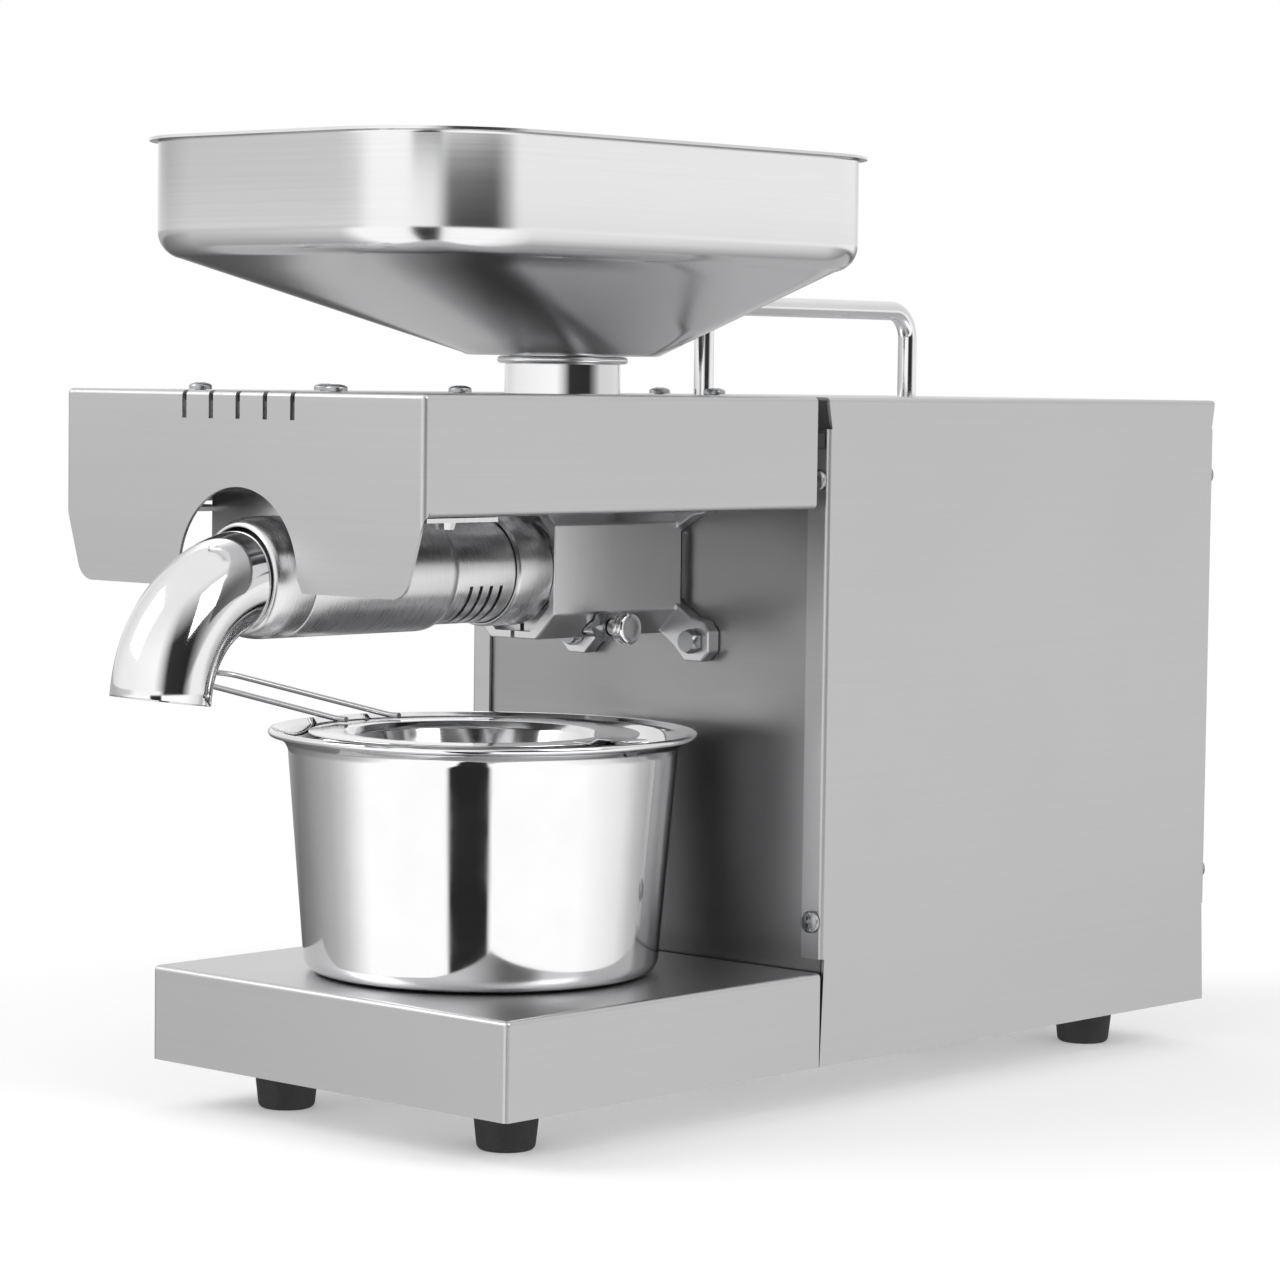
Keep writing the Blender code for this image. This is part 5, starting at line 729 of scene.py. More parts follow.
class OILPRESS_OT_sheets(bpy.types.Operator):
    """Folded tray, rear cover and hood"""

    bl_idname = "oilpress.sheets"
    bl_label = "Folded Sheets"

    def execute(self, context):
        settings = context.scene.press_sheet
        self.tray(settings)
        self.cover(settings)
        self.hood(settings)
        return {"FINISHED"}

    def tray(self, settings):
        """Tray with a front skirt and two side skirts."""
        low, high = TRAY_LOW, TRAY_HIGH
        bm = bmesh.new()
        quad(bm, (low.x, low.y, high.z), (high.x, low.y, high.z), (high.x, high.y, high.z), (low.x, high.y, high.z))
        quad(bm, (low.x, low.y, low.z), (high.x, low.y, low.z), (high.x, low.y, high.z), (low.x, low.y, high.z))
        for x in (low.x, high.x):
            quad(bm, (x, low.y, low.z), (x, high.y, low.z), (x, high.y, high.z), (x, low.y, high.z))
        made = folded("base_tray_sheet", bm, settings.thickness, settings.fold, settings.fold_steps)
        dress(made, "brushed_stainless", "housing", ["base_tray"])
        flatten_shading(made)

    def cover(self, settings):
        """Rear cover with narrow flanges at both ends."""
        low, high = COVER_LOW, COVER_HIGH
        flange_low, flange_high = TRAY_HIGH.z + 0.0050, high.z - 0.0115
        bm = bmesh.new()
        quad(bm, (low.x, low.y, high.z), (high.x, low.y, high.z), (high.x, high.y, high.z), (low.x, high.y, high.z))
        for x, side in ((low.x, -1), (high.x, 1)):
            outline = [(x, low.y, z) for z in (low.z, flange_low, flange_high, high.z)]
            outline += [(x, high.y, z) for z in (high.z, flange_high, flange_low, low.z)]
            quad(bm, *outline)
            for y in (low.y, high.y):
                inner = x - side * settings.flange
                quad(bm, (x, y, flange_low), (inner, y, flange_low), (inner, y, flange_high), (x, y, flange_high))
        made = folded("rear_cover_sheet", bm, settings.thickness, settings.fold, settings.fold_steps)
        holes = bmesh.new()
        handle_low, handle_high = span("carry_handle")
        for y in (handle_low.y + 0.00375, handle_high.y - 0.00375):
            add_rod(holes, 0.0041, 0.02, at(0.0, y, high.z - 0.01), 32)
        cut(made, holes)
        dress(made, "brushed_stainless", "housing", ["rear_cover"])
        flatten_shading(made)

    def hood(self, settings):
        """Hood with its arch, its inward flanges, its slots and the hole for the neck."""
        low, high = HOOD_LOW, HOOD_HIGH
        skirt_z = high.z - 0.0402
        slope_x, corner = 0.0085, 0.0080
        slope = math.degrees(math.atan2(skirt_z - low.z, slope_x))
        reach = corner * math.tan(math.radians(slope / 2))
        centre = (high.x - slope_x - reach, low.z + corner)
        right = arc(centre, corner, -90.0, -90.0 + slope, 10)
        left = [(-x, z) for x, z in reversed(right)]
        foot = settings.arch + 0.0026
        arch = arc((0.0, PRESS_Z + 0.0010), settings.arch, 180.0, 0.0, 48)
        outline = left + [(-foot, low.z)] + arch + [(foot, low.z)] + right
        outline += [(high.x, skirt_z), (high.x, high.z), (low.x, high.z), (low.x, skirt_z)]
        bm = bmesh.new()
        quad(bm, *[(x, low.y, z) for x, z in outline])
        quad(bm, (low.x, low.y, high.z), (high.x, low.y, high.z), (high.x, high.y, high.z), (low.x, high.y, high.z))
        start = low.y + settings.thickness + settings.fold
        for x, side in ((low.x, -1), (high.x, 1)):
            quad(bm, (x, low.y, skirt_z), (x, start, skirt_z), (x, high.y, skirt_z), (x, high.y, high.z), (x, low.y, high.z))
            inner = x - side * 0.0120
            quad(bm, (x, start, skirt_z), (inner, start, skirt_z), (inner, high.y, skirt_z), (x, high.y, skirt_z))
        made = folded("hood_sheet", bm, settings.thickness, settings.fold, settings.fold_steps)
        slots = bmesh.new()
        for i in range(settings.slots):
            x = (i - (settings.slots - 1) / 2) * settings.slot_pitch
            add_box(slots, (x - settings.slot_width / 2, low.y - 0.01, high.z - settings.slot_drop),
                    (x + settings.slot_width / 2, low.y + settings.slot_run, high.z + 0.01))
        cut(made, slots)
        hole = bmesh.new()
        add_rod(hole, NECK_HIGH.x - 0.0025, 0.04, at(0.0, NECK_Y, high.z - 0.02), 96)
        cut(made, hole)
        dress(made, "brushed_stainless", "housing", ["hood"])
        flatten_shading(made)


class OILPRESS_OT_press_line(bpy.types.Operator):
    """Barrel with drain slits, collar, front tube, choke ring and end cap"""

    bl_idname = "oilpress.press_line"
    bl_label = "Press Line"

    def execute(self, context):
        place = at(0.0, 0.0, PRESS_Z, FACING_FRONT)
        look = ("satin_stainless", "housing")
        cage_front, cage_rear = -TUBE_HIGH.y, -COLLAR_LOW.y
        cage, bore, spigot, sleeve = 0.0190, 0.0153, 0.0172, 0.0175
        barrel = lathe("barrel_turned", [
            (spigot, -BARREL_LOW.y), (spigot, cage_front - SEAT), (cage, cage_front - SEAT), (cage, -COLLAR_HIGH.y),
            (sleeve, -COLLAR_HIGH.y), (sleeve, -BARREL_HIGH.y), (bore, -BARREL_HIGH.y), (bore, -BARREL_LOW.y)],
            place, *look, ["press_barrel"])
        slits = bmesh.new()
        for i in range(4):
            y = -cage_rear - 0.0060 - i * 0.0050
            add_box(slits, (-0.03, y - 0.0016, PRESS_Z - 0.03), (0.03, y, PRESS_Z - cage / 4))
        cut(barrel, slits)
        dress(barrel, "satin_stainless", "housing", [], sharp=40.0)
        radius = COLLAR_HIGH.x
        lathe("collar_turned", [
            (radius - 0.0008, -COLLAR_LOW.y), (radius, -COLLAR_LOW.y - 0.0010), (radius, -COLLAR_HIGH.y),
            (cage + SEAT, -COLLAR_HIGH.y), (cage + SEAT, -COLLAR_LOW.y)], place, *look, ["barrel_collar"])
        tube, front, rear = TUBE_HIGH.x, -TUBE_LOW.y, -TUBE_HIGH.y
        edge = [(tube - 0.0025 * (1 - x), rear + 0.0045 * (1 + z)) for x, z in arc((0.0, 0.0), 1.0, 0.0, -90.0, 12)]
        lathe("front_tube_turned", [
            (tube, front), *edge, (spigot + SEAT, rear), (spigot + SEAT, -BARREL_LOW.y + SEAT), (bore + SEAT, -BARREL_LOW.y + SEAT),
            (bore + SEAT, -CHOKE_HIGH.y - SEAT), (CHOKE_HIGH.x + SEAT, -CHOKE_HIGH.y - SEAT), (CHOKE_HIGH.x + SEAT, front)],
            place, *look, ["front_tube"])
        choke = CHOKE_HIGH.x
        lathe("choke_turned", [
            (choke, -CHOKE_LOW.y), (choke, -CHOKE_HIGH.y), (choke - 0.0020, -CHOKE_HIGH.y),
            (0.0130, -(CHOKE_LOW.y + CHOKE_HIGH.y) / 2), (0.0130, -CHOKE_LOW.y)], place, *look, ["choke_ring"])
        self.cap(place)
        return {"FINISHED"}

    def cap(self, place):
        """End cap with a domed shoulder and a flared mouth."""
        front, rear, radius = -CAP_LOW.y, -CAP_HIGH.y, CAP_HIGH.x
        bore = 0.0173
        mouth = bore + 0.0003
        crown = mouth + 0.0004
        depth = 0.0095
        dome = [(crown + (radius - crown) * math.sin(a), front - depth * (1 - math.cos(a)))
                for a in (math.radians(90.0 * i / 16) for i in range(17))]
        lathe("end_cap_turned", [*dome, (radius, rear), (bore, rear), (bore, front - 0.0060), (mouth, front)], place,
              "satin_stainless", "housing", ["end_cap"], sharp=60.0)


class OILPRESS_OT_chute(bpy.types.Operator):
    """Bent chute for the pressed cake"""

    bl_idname = "oilpress.chute"
    bl_label = "Cake Chute"

    def execute(self, context):
        settings = context.scene.press_pipe
        mesh = bpy.data.meshes.new("chute_pipe")
        made = bpy.data.objects.new("chute_pipe", mesh)
        context.scene.collection.objects.link(made)
        run_tree(made, sweep_tree(), {
            "Radius": settings.radius, "Bend": settings.bend, "Turn": settings.turn, "Entry": settings.entry,
            "Tail": settings.tail, "Finish": finish("polished_stainless")})
        start = CAP_HIGH.y - SEAT - settings.entry
        made.data.transform(Matrix.Translation((0.0, start, PRESS_Z)))
        bm = bmesh.new()
        bm.from_mesh(made.data)
        bm.normal_update()
        highest = max(bm.faces, key=lambda face: face.calc_center_median().z)
        if highest.normal.z < 0:
            bmesh.ops.reverse_faces(bm, faces=bm.faces)
        bm.to_mesh(made.data)
        bm.free()
        wall = made.modifiers.new("wall", "SOLIDIFY")
        wall.thickness = settings.wall
        wall.offset = -1.0
        settle(made)
        round_edges(made, 0.0003, 2, 60.0)
        dress(made, "polished_stainless", "chute", ["discharge_chute"], sharp=40.0)
        return {"FINISHED"}


class OILPRESS_OT_press_screw(bpy.types.Operator):
    """Press screw with its tail and its tip"""

    bl_idname = "oilpress.press_screw"
    bl_label = "Press Screw"

    def execute(self, context):
        rear, front = SCREW_HIGH.y - 0.0135, SCREW_LOW.y + 0.0160
        mesh = bpy.data.meshes.new("press_screw_flight")
        made = bpy.data.objects.new("press_screw_flight", mesh)
        context.scene.collection.objects.link(made)
        run_tree(made, flight_tree(), {
            "Length": rear - front, "Flight": 0.0148, "Core Start": 0.0078, "Core End": 0.0118, "Pitch Start": 0.0300,
            "Pitch End": 0.0170, "Finish": finish("polished_stainless")})
        made.data.transform(Matrix.Translation((0.0, rear, PRESS_Z)))
        bm = bmesh.new()
        bm.from_mesh(made.data)
        rims = [edge for edge in bm.edges if edge.is_boundary]
        bmesh.ops.holes_fill(bm, edges=rims, sides=0)
        bmesh.ops.recalc_face_normals(bm, faces=bm.faces)
        bm.to_mesh(made.data)
        bm.free()
        dress(made, "polished_stainless", "screw_line", ["press_screw"], sharp=60.0)
        place = at(0.0, 0.0, PRESS_Z, FACING_FRONT)
        lathe("press_screw_tip", [
            (0.0, -SCREW_LOW.y), (0.0085, -SCREW_LOW.y), (0.0118, -front), (0.0, -front)], place,
            "polished_stainless", "screw_line", [])
        lathe("press_screw_tail", [
            (0.0, -rear), (0.0090, -rear), (0.0090, -SCREW_HIGH.y), (0.0, -SCREW_HIGH.y)], place,
            "polished_stainless", "screw_line", [])
        return {"FINISHED"}


class OILPRESS_OT_block(bpy.types.Operator):
    """Chamber block with its flange, bolts, clamp screw and nut"""

    bl_idname = "oilpress.block"
    bl_label = "Chamber Block"

    def execute(self, context):
        self.block()
        self.bolts()
        self.clamp()
        return {"FINISHED"}

    def prism(self, bm, outline, low_y, high_y):
        """An outline in X and Z with a length along Y."""
        loft(bm, [[(x, y, z) for x, z in outline] for y in (low_y, high_y)], caps=True)

    def block(self):
        """Chamfered block with a flange of four ears, a rimmed front and a split base."""
        half, top, bottom, chamfer, rim = 0.0210, 0.0260, 0.0255, 0.0095, 0.0028
        flange = 0.0060

        def octagon(inset):
            a, t, b = half - inset, top - inset, bottom - inset
            ring = [(a, t - chamfer), (a - chamfer, t), (chamfer - a, t), (-a, t - chamfer),
                    (-a, chamfer - b), (chamfer - a, -b), (a - chamfer, -b), (a, chamfer - b)]
            return [(x, PRESS_Z + z) for x, z in ring]

        bm = bmesh.new()
        self.prism(bm, octagon(0.0), BLOCK_LOW.y, BLOCK_HIGH.y - flange / 2)
        mesh = bpy.data.meshes.new("chamber_block_machined")
        bm.to_mesh(mesh)
        bm.free()
        made = bpy.data.objects.new("chamber_block_machined", mesh)
        bpy.context.scene.collection.objects.link(made)
        wide, ear_x, ear_z = 0.0075, 0.0300, 0.0275
        inside = half - flange / 2
        quarter = [(inside, ear_z - 2.0 * wide), (ear_x - 0.2 * wide, ear_z - 1.15 * wide), (ear_x + 0.6 * wide, ear_z - wide),
                   (ear_x + wide, ear_z - 0.5 * wide), (ear_x + wide, ear_z + 0.5 * wide), (ear_x + 0.5 * wide, ear_z + wide),
                   (ear_x - 0.6 * wide, ear_z + wide), (ear_x - 1.3 * wide, ear_z + 0.3 * wide), (inside - wide, top - flange / 2)]
        ring = quarter + [(-x, z) for x, z in reversed(quarter)] + [(-x, -z) for x, z in quarter]
        ring += [(x, -z) for x, z in reversed(quarter)]
        plate = bmesh.new()
        self.prism(plate, [(x, PRESS_Z + z) for x, z in ring], BLOCK_HIGH.y - flange, BLOCK_HIGH.y)
        cut(made, plate, "UNION")
        round_edges(made, 0.0007, 3, 25.0)
        recess = bmesh.new()
        self.prism(recess, octagon(rim), BLOCK_LOW.y - 0.01, BLOCK_LOW.y + 0.0050)
        cut(made, recess)
        for radius, start, depth in ((0.0155, BLOCK_LOW.y - 0.01, 0.12), (0.0178, BLOCK_LOW.y - 0.02, 0.0293)):
            hole = bmesh.new()
            add_rod(hole, radius, depth, at(0.0, start, PRESS_Z, FACING_BACK), 96)
            cut(made, hole)
        feed = bmesh.new()
        add_rod(feed, 0.0140, 0.05, at(0.0, NECK_Y, PRESS_Z), 64)
        cut(made, feed)
        slit = bmesh.new()
        add_box(slit, (-0.0010, BLOCK_LOW.y - 0.01, PRESS_Z - bottom - 0.01), (0.0010, BLOCK_LOW.y + 0.0360, PRESS_Z - 0.0078))
        cut(made, slit)
        low, high = span("clamp_screw")
        clamp = bmesh.new()
        add_rod(clamp, 0.0034, 0.06, at(low.x - SEAT, NECK_Y, (low.z + high.z) / 2, ALONG_X), 32)
        cut(made, clamp)
        dress(made, "satin_stainless", "housing", ["chamber_block"], look="machined_block", sharp=30.0)
        flatten_shading(made)

    def bolts(self):
        """Hexagon bolts through the flange's ears."""
        bm = bmesh.new()
        add_rod(bm, 0.0046, 0.0042, at(0.0, 0.0, SEAT), 6)
        mesh = bpy.data.meshes.new("bolt")
        bm.to_mesh(mesh)
        bm.free()
        model = bpy.data.objects.new("bolt", mesh)
        bpy.context.scene.collection.objects.link(model)
        crown = bmesh.new()
        add_rod(crown, 0.0062, 0.0060, at(0.0, 0.0, -0.0010), 48, 0.0036)
        cut(model, crown, "INTERSECT")
        seats = []
        for number in range(1, 5):
            centre = middle(f"flange_bolt_{number}")
            seats.append(at(centre.x, BLOCK_HIGH.y - 0.0060, centre.z, FACING_FRONT))
        place_copies("flange_bolts", model, seats, "zinc_plated_steel", "housing",
                     [f"flange_bolt_{number}" for number in range(1, 5)], sharp=25.0)

    def clamp(self):
        """Clamp screw with its round knob, and its nut."""
        low, high = span("clamp_screw")
        radius = (high.z - low.z) / 2
        knob = high.x - 0.0048
        place = at(0.0, NECK_Y, (low.z + high.z) / 2, ALONG_X)
        groove = [(radius, high.x - 0.0008), (radius, high.x - 0.0020), (radius - 0.0003, high.x - 0.0023),
                  (radius, high.x - 0.0026)]
        lathe("clamp_screw_turned", [
            (0.0, high.x - 0.0003), (radius * 0.6, high.x - 0.0001), (radius - 0.0008, high.x - 0.0001), *groove,
            (radius, knob + 0.0006), (radius - 0.0006, knob), (0.0030, knob), (0.0030, low.x), (0.0, low.x)], place,
            "polished_stainless", "clamp", ["clamp_screw"], ease=0.0003, steps=64)
        low, high = span("clamp_nut")
        bm = bmesh.new()
        add_rod(bm, (high.z - low.z) / math.sqrt(3.0), high.x - low.x, at(low.x, NECK_Y, (low.z + high.z) / 2, ALONG_X), 6)
        made = piece("clamp_nut_hex", bm, "zinc_plated_steel", "housing", ["clamp_nut"], sharp=None)
        crown = bmesh.new()
        add_rod(crown, 0.0070, 0.0060, at(low.x - 0.0007, NECK_Y, (low.z + high.z) / 2, ALONG_X), 48, 0.0046)
        cut(made, crown, "INTERSECT")
        hole = bmesh.new()
        add_rod(hole, 0.0034, 0.02, at(low.x - 0.01, NECK_Y, (low.z + high.z) / 2, ALONG_X), 32)
        cut(made, hole)
        made.data.shade_smooth()
        made.data.set_sharp_from_angle(angle=math.radians(25.0))


class OILPRESS_OT_hopper(bpy.types.Operator):
    """Feed neck, collar and hopper"""

    bl_idname = "oilpress.hopper"
    bl_label = "Hopper"

    def execute(self, context):
        inner = NECK_HIGH.x - 0.0050
        radius = 0.0212
        top, base = NECK_HIGH.z, NECK_LOW.z
        lathe("feed_neck_tube", [
            (radius, top), (radius, base + 0.0062), (radius, base + 0.0050), (radius + 0.0010, base + 0.0030), (NECK_HIGH.x, base + 0.0030), (NECK_HIGH.x, base),
            (0.0140, base), (0.0140, base + 0.0030), (inner, base + 0.0048), (inner, top)],
            at(0.0, NECK_Y, 0.0), "polished_stainless", "housing", ["feed_neck"], steps=128)
        low, high = span("hopper_collar")
        outer, middle_z = high.x, (low.z + high.z) / 2
        half = (high.z - low.z) / 2
        bead = [(outer - half + half * math.cos(a), middle_z + half * math.sin(a))
                for a in (math.radians(90.0 - 180.0 * i / 12) for i in range(13))]
        lathe("hopper_collar_ring", [(0.0216, high.z), *bead, (0.0216, low.z)], at(0.0, NECK_Y, 0.0), "polished_stainless",
              "hopper_set", ["hopper_collar"], steps=128, sharp=60.0)
        self.hopper(context.scene.press_hopper)
        return {"FINISHED"}

    def ring(self, half_x, half_y, radius, centre_y, z, steps=20):
        """A rounded rectangle at one height."""
        points = []
        for side_x, side_y, start in ((1, 1, 0.0), (-1, 1, 90.0), (-1, -1, 180.0), (1, -1, 270.0)):
            centre = (side_x * (half_x - radius), centre_y + side_y * (half_y - radius))
            points += [(x, y, z) for x, y in arc(centre, radius, start, start + 90.0, steps)]
        return points

    def hopper(self, settings):
        """Pressed hopper: lip, upright wall, rounded knee, funnel, floor and spout."""
        a = HOPPER_HIGH.x - settings.lip
        b = (HOPPER_HIGH.y - HOPPER_LOW.y) / 2 - settings.lip
        centre_y = (HOPPER_HIGH.y + HOPPER_LOW.y) / 2
        spout = span("hopper")[0].z
        top = HOPPER_HIGH.z - settings.sheet
        knee = HOPPER_HIGH.z - settings.wall
        floor = NECK_HIGH.z + SEAT
        corner, lip = settings.corner, settings.lip
        rings = [self.ring(a + lip, b + lip, corner + lip, centre_y, top)]
        for i in range(5):
            angle = math.radians(90.0 * i / 4)
            out = 0.0010 * (1 - math.sin(angle))
            rings.append(self.ring(a + out, b + out, corner + out, centre_y, top - 0.0010 * (1 - math.cos(angle))))
        bend, turn, start_z = settings.knee, settings.knee_turn, knee + 0.0030
        for i in range(13):
            angle = turn * i / 12
            inward = bend * (1 - math.cos(angle))
            start = (a - inward, b - inward, corner - inward, centre_y, start_z - bend * math.sin(angle))
            rings.append(self.ring(*start))
        floor_half, floor_corner = settings.floor_half, settings.floor_corner
        end = (floor_half, floor_half, floor_corner, NECK_Y, floor + 0.0008)
        for i in range(1, 9):
            share = i / 8
            rings.append(self.ring(*[p + (q - p) * share for p, q in zip(start, end)]))
        rings.append(self.ring(floor_half - 0.0012, floor_half - 0.0012, floor_corner - 0.0012, NECK_Y, floor + 0.0002))
        rings.append(self.ring(floor_half - 0.0030, floor_half - 0.0030, floor_corner - 0.0030, NECK_Y, floor))
        reach = 0.0192
        rings.append(self.ring(reach, reach, reach - 0.0006, NECK_Y, floor))
        rings.append(self.ring(reach, reach, reach - 0.0006, NECK_Y, spout))
        bm = bmesh.new()
        loft(bm, rings)
        bmesh.ops.remove_doubles(bm, verts=bm.verts, dist=0.000001)
        bm.normal_update()
        upright = max(bm.faces, key=lambda face: face.calc_center_median().x if abs(face.normal.z) < 0.1 else -1.0)
        if upright.normal.x < 0:
            bmesh.ops.reverse_faces(bm, faces=bm.faces)
        mesh = bpy.data.meshes.new("hopper_pressed")
        bm.to_mesh(mesh)
        bm.free()
        made = bpy.data.objects.new("hopper_pressed", mesh)
        bpy.context.scene.collection.objects.link(made)
        wall = made.modifiers.new("wall", "SOLIDIFY")
        wall.thickness = settings.sheet
        wall.offset = -1.0
        settle(made)
        dress(made, "brushed_stainless", "hopper_set", ["hopper"], look="hopper_sheet", sharp=45.0)


class OILPRESS_OT_handle(bpy.types.Operator):
    """Carry handle"""

    bl_idname = "oilpress.handle"
    bl_label = "Carry Handle"

    def execute(self, context):
        low, high = span("carry_handle")
        radius, bend = 0.00375, 0.0110
        front, rear, top = low.y + radius, high.y - radius, high.z - radius
        path = [(front, low.z)] + arc((front + bend, top - bend), bend, 180.0, 90.0, 16)
        path += arc((rear - bend, top - bend), bend, 90.0, 0.0, 16) + [(rear, low.z)]
        curve = bpy.data.curves.new("handle", "CURVE")
        curve.dimensions = "3D"
        curve.bevel_depth = radius
        curve.bevel_resolution = 14
        curve.use_fill_caps = True
        spline = curve.splines.new("POLY")
        spline.points.add(len(path) - 1)
        for point, (y, z) in zip(spline.points, path):
            point.co = (0.0, y, z, 1.0)
        wire = bpy.data.objects.new("handle", curve)
        context.scene.collection.objects.link(wire)
        bpy.context.view_layer.update()
        mesh = bpy.data.meshes.new_from_object(wire.evaluated_get(context.evaluated_depsgraph_get()))
        bpy.data.objects.remove(wire, do_unlink=True)
        made = bpy.data.objects.new("carry_handle_rod", mesh)
        context.scene.collection.objects.link(made)
        dress(made, "polished_stainless", "housing", ["carry_handle"], sharp=50.0)
        bm = bmesh.new()
        for y in (front, rear):
            add_rod(bm, radius + 0.0022, 0.0050, at(0.0, y, COVER_HIGH.z - SHEET - SEAT - 0.0050), 6)
        piece("carry_handle_nuts", bm, "zinc_plated_steel", "housing", [], sharp=None)
        return {"FINISHED"}


class OILPRESS_OT_pot(bpy.types.Operator):
    """Oil pot with its strainer"""

    bl_idname = "oilpress.pot"
    bl_label = "Pot and Strainer"

    def execute(self, context):
        settings = context.scene.press_pot
        self.pot(settings)
        self.strainer(settings)
        self.handle(settings)
        return {"FINISHED"}

    def pot(self, settings):
        """Drawn pot with a rolled, flared rim."""
        wall, rim, base, top = settings.sheet, settings.rim, settings.base, settings.top
        low, high = POT_LOW.z, POT_HIGH.z
        roll = 0.0013
        bead = arc((rim - roll, high - roll), roll, 130.0, -100.0, 16)
        foot = arc((base - 0.0060, low + 0.0060), 0.0060, 0.0, -90.0, 12)
        inner_foot = [(x - wall * 0.8, z + wall) for x, z in reversed(foot)]
        outline = [*bead, (rim - 0.0036, high - 0.0031), (top + 0.0012, high - 0.0050), (top, high - 0.0074), *foot, (0.0, low),
                   (0.0, low + wall), *inner_foot, (top - wall, high - 0.0070), (top + 0.0006, high - 0.0038),
                   (rim - 0.0048, high - 0.0016)]
        lathe("oil_pot_drawn", outline, at(0.0, POT_Y, 0.0), "polished_stainless", "pot", ["oil_pot"], ease=0.0006,
              steps=160, sharp=60.0)

    def strainer(self, settings):
        """Strainer's pressed rim and bowl with its hook, and the woven mesh."""
        x = (RIM_LOW.x + 0.0600)
        z = RIM_LOW.z + 0.0130
        rim, bowl, disc, wall, depth = 0.0600, 0.0470, 0.0380, 0.0008, 0.0130
        slant, bend = 0.0058, 0.0020
        made = lathe("strainer_rim_pressed", [
            (rim, z), (rim, z - wall), (bowl, z - wall), (bowl - 0.3 * slant, z - wall - bend),
            (bowl - 0.7 * slant, z + bend - depth), (bowl - slant, z - depth), (disc, z - depth), (disc, z + wall - depth),
            (bowl - slant - wall / 2, z + wall - depth), (bowl - 0.7 * slant - wall, z + wall / 2 + bend - depth),
            (bowl - 0.3 * slant - wall, z - wall / 2 - bend), (bowl - wall / 2, z)],
            at(x, POT_Y, 0.0), "polished_stainless", "strainer", ["strainer_rim"], look="spun_polished", ease=0.0006, steps=128)
        bm = bmesh.new()
        lift = POT_HIGH.z + SEAT
        turn_x, reach, thick, half = x + rim + 0.0020, RIM_HIGH.x, 0.0008, 0.0050
        low = z - thick / 2
        profile = [(x + rim - 0.0060, low), (turn_x, low), (turn_x + 0.0040, lift), (reach, lift), (reach, lift + thick),
                   (turn_x + 0.0036, lift + thick), (turn_x - 0.0004, low + thick), (x + rim - 0.0060, low + thick)]
        loft(bm, [[(px, POT_Y + side * half, pz) for px, pz in profile] for side in (-1, 1)], caps=True)
        hook = piece("strainer_hook_tab", bm, "polished_stainless", "strainer", [])
        round_edges(hook, 0.0003, 2, 30.0)
        mesh = bpy.data.meshes.new("strainer_weave")
        weave = bpy.data.objects.new("strainer_weave", mesh)
        bpy.context.scene.collection.objects.link(weave)
        run_tree(weave, mesh_tree(), {"Radius": 0.0400, "Pitch": settings.mesh_pitch, "Wire": settings.mesh_wire,
                                      "Finish": finish("zinc_plated_steel")})
        weave.data.transform(Matrix.Translation((x, POT_Y, z - depth + wall + 0.0006)))
        dress(weave, "satin_stainless", "strainer", ["strainer_mesh"], look="polished_stainless", sharp=60.0)

    def handle(self, settings):
        """The strainer's wire handle."""
        low, high = span("strainer_handle")
        radius, spread = settings.wire, settings.spread
        tilt = math.radians(6.5)
        foot_x, foot_z = high.x - radius, low.z + radius
        edge_x = foot_x - 0.0050
        grip = 0.0130
        end_x = low.x + radius + grip
        end_z = foot_z + (edge_x - end_x) * math.tan(tilt)
        path = [(foot_x, POT_Y + spread, foot_z), (edge_x, POT_Y + spread, foot_z)]
        for i in range(0, 25):
            angle = math.pi * i / 24
            reach = grip * math.sin(angle)
            path.append((end_x - reach, POT_Y + spread * math.cos(angle), end_z + reach * math.tan(tilt)))
        path += [(edge_x, POT_Y - spread, foot_z), (foot_x, POT_Y - spread, foot_z)]
        curve = bpy.data.curves.new("wire", "CURVE")
        curve.dimensions = "3D"
        curve.bevel_depth = radius
        curve.bevel_resolution = 6
        curve.use_fill_caps = True
        spline = curve.splines.new("POLY")
        spline.points.add(len(path) - 1)
        for point, place in zip(spline.points, path):
            point.co = (*place, 1.0)
        wire = bpy.data.objects.new("wire", curve)
        bpy.context.scene.collection.objects.link(wire)
        bpy.context.view_layer.update()
        mesh = bpy.data.meshes.new_from_object(wire.evaluated_get(bpy.context.evaluated_depsgraph_get()))
        bpy.data.objects.remove(wire, do_unlink=True)
        made = bpy.data.objects.new("strainer_handle_wire", mesh)
        bpy.context.scene.collection.objects.link(made)
        dress(made, "polished_stainless", "strainer", ["strainer_handle"], look="drawn_wire", sharp=60.0)


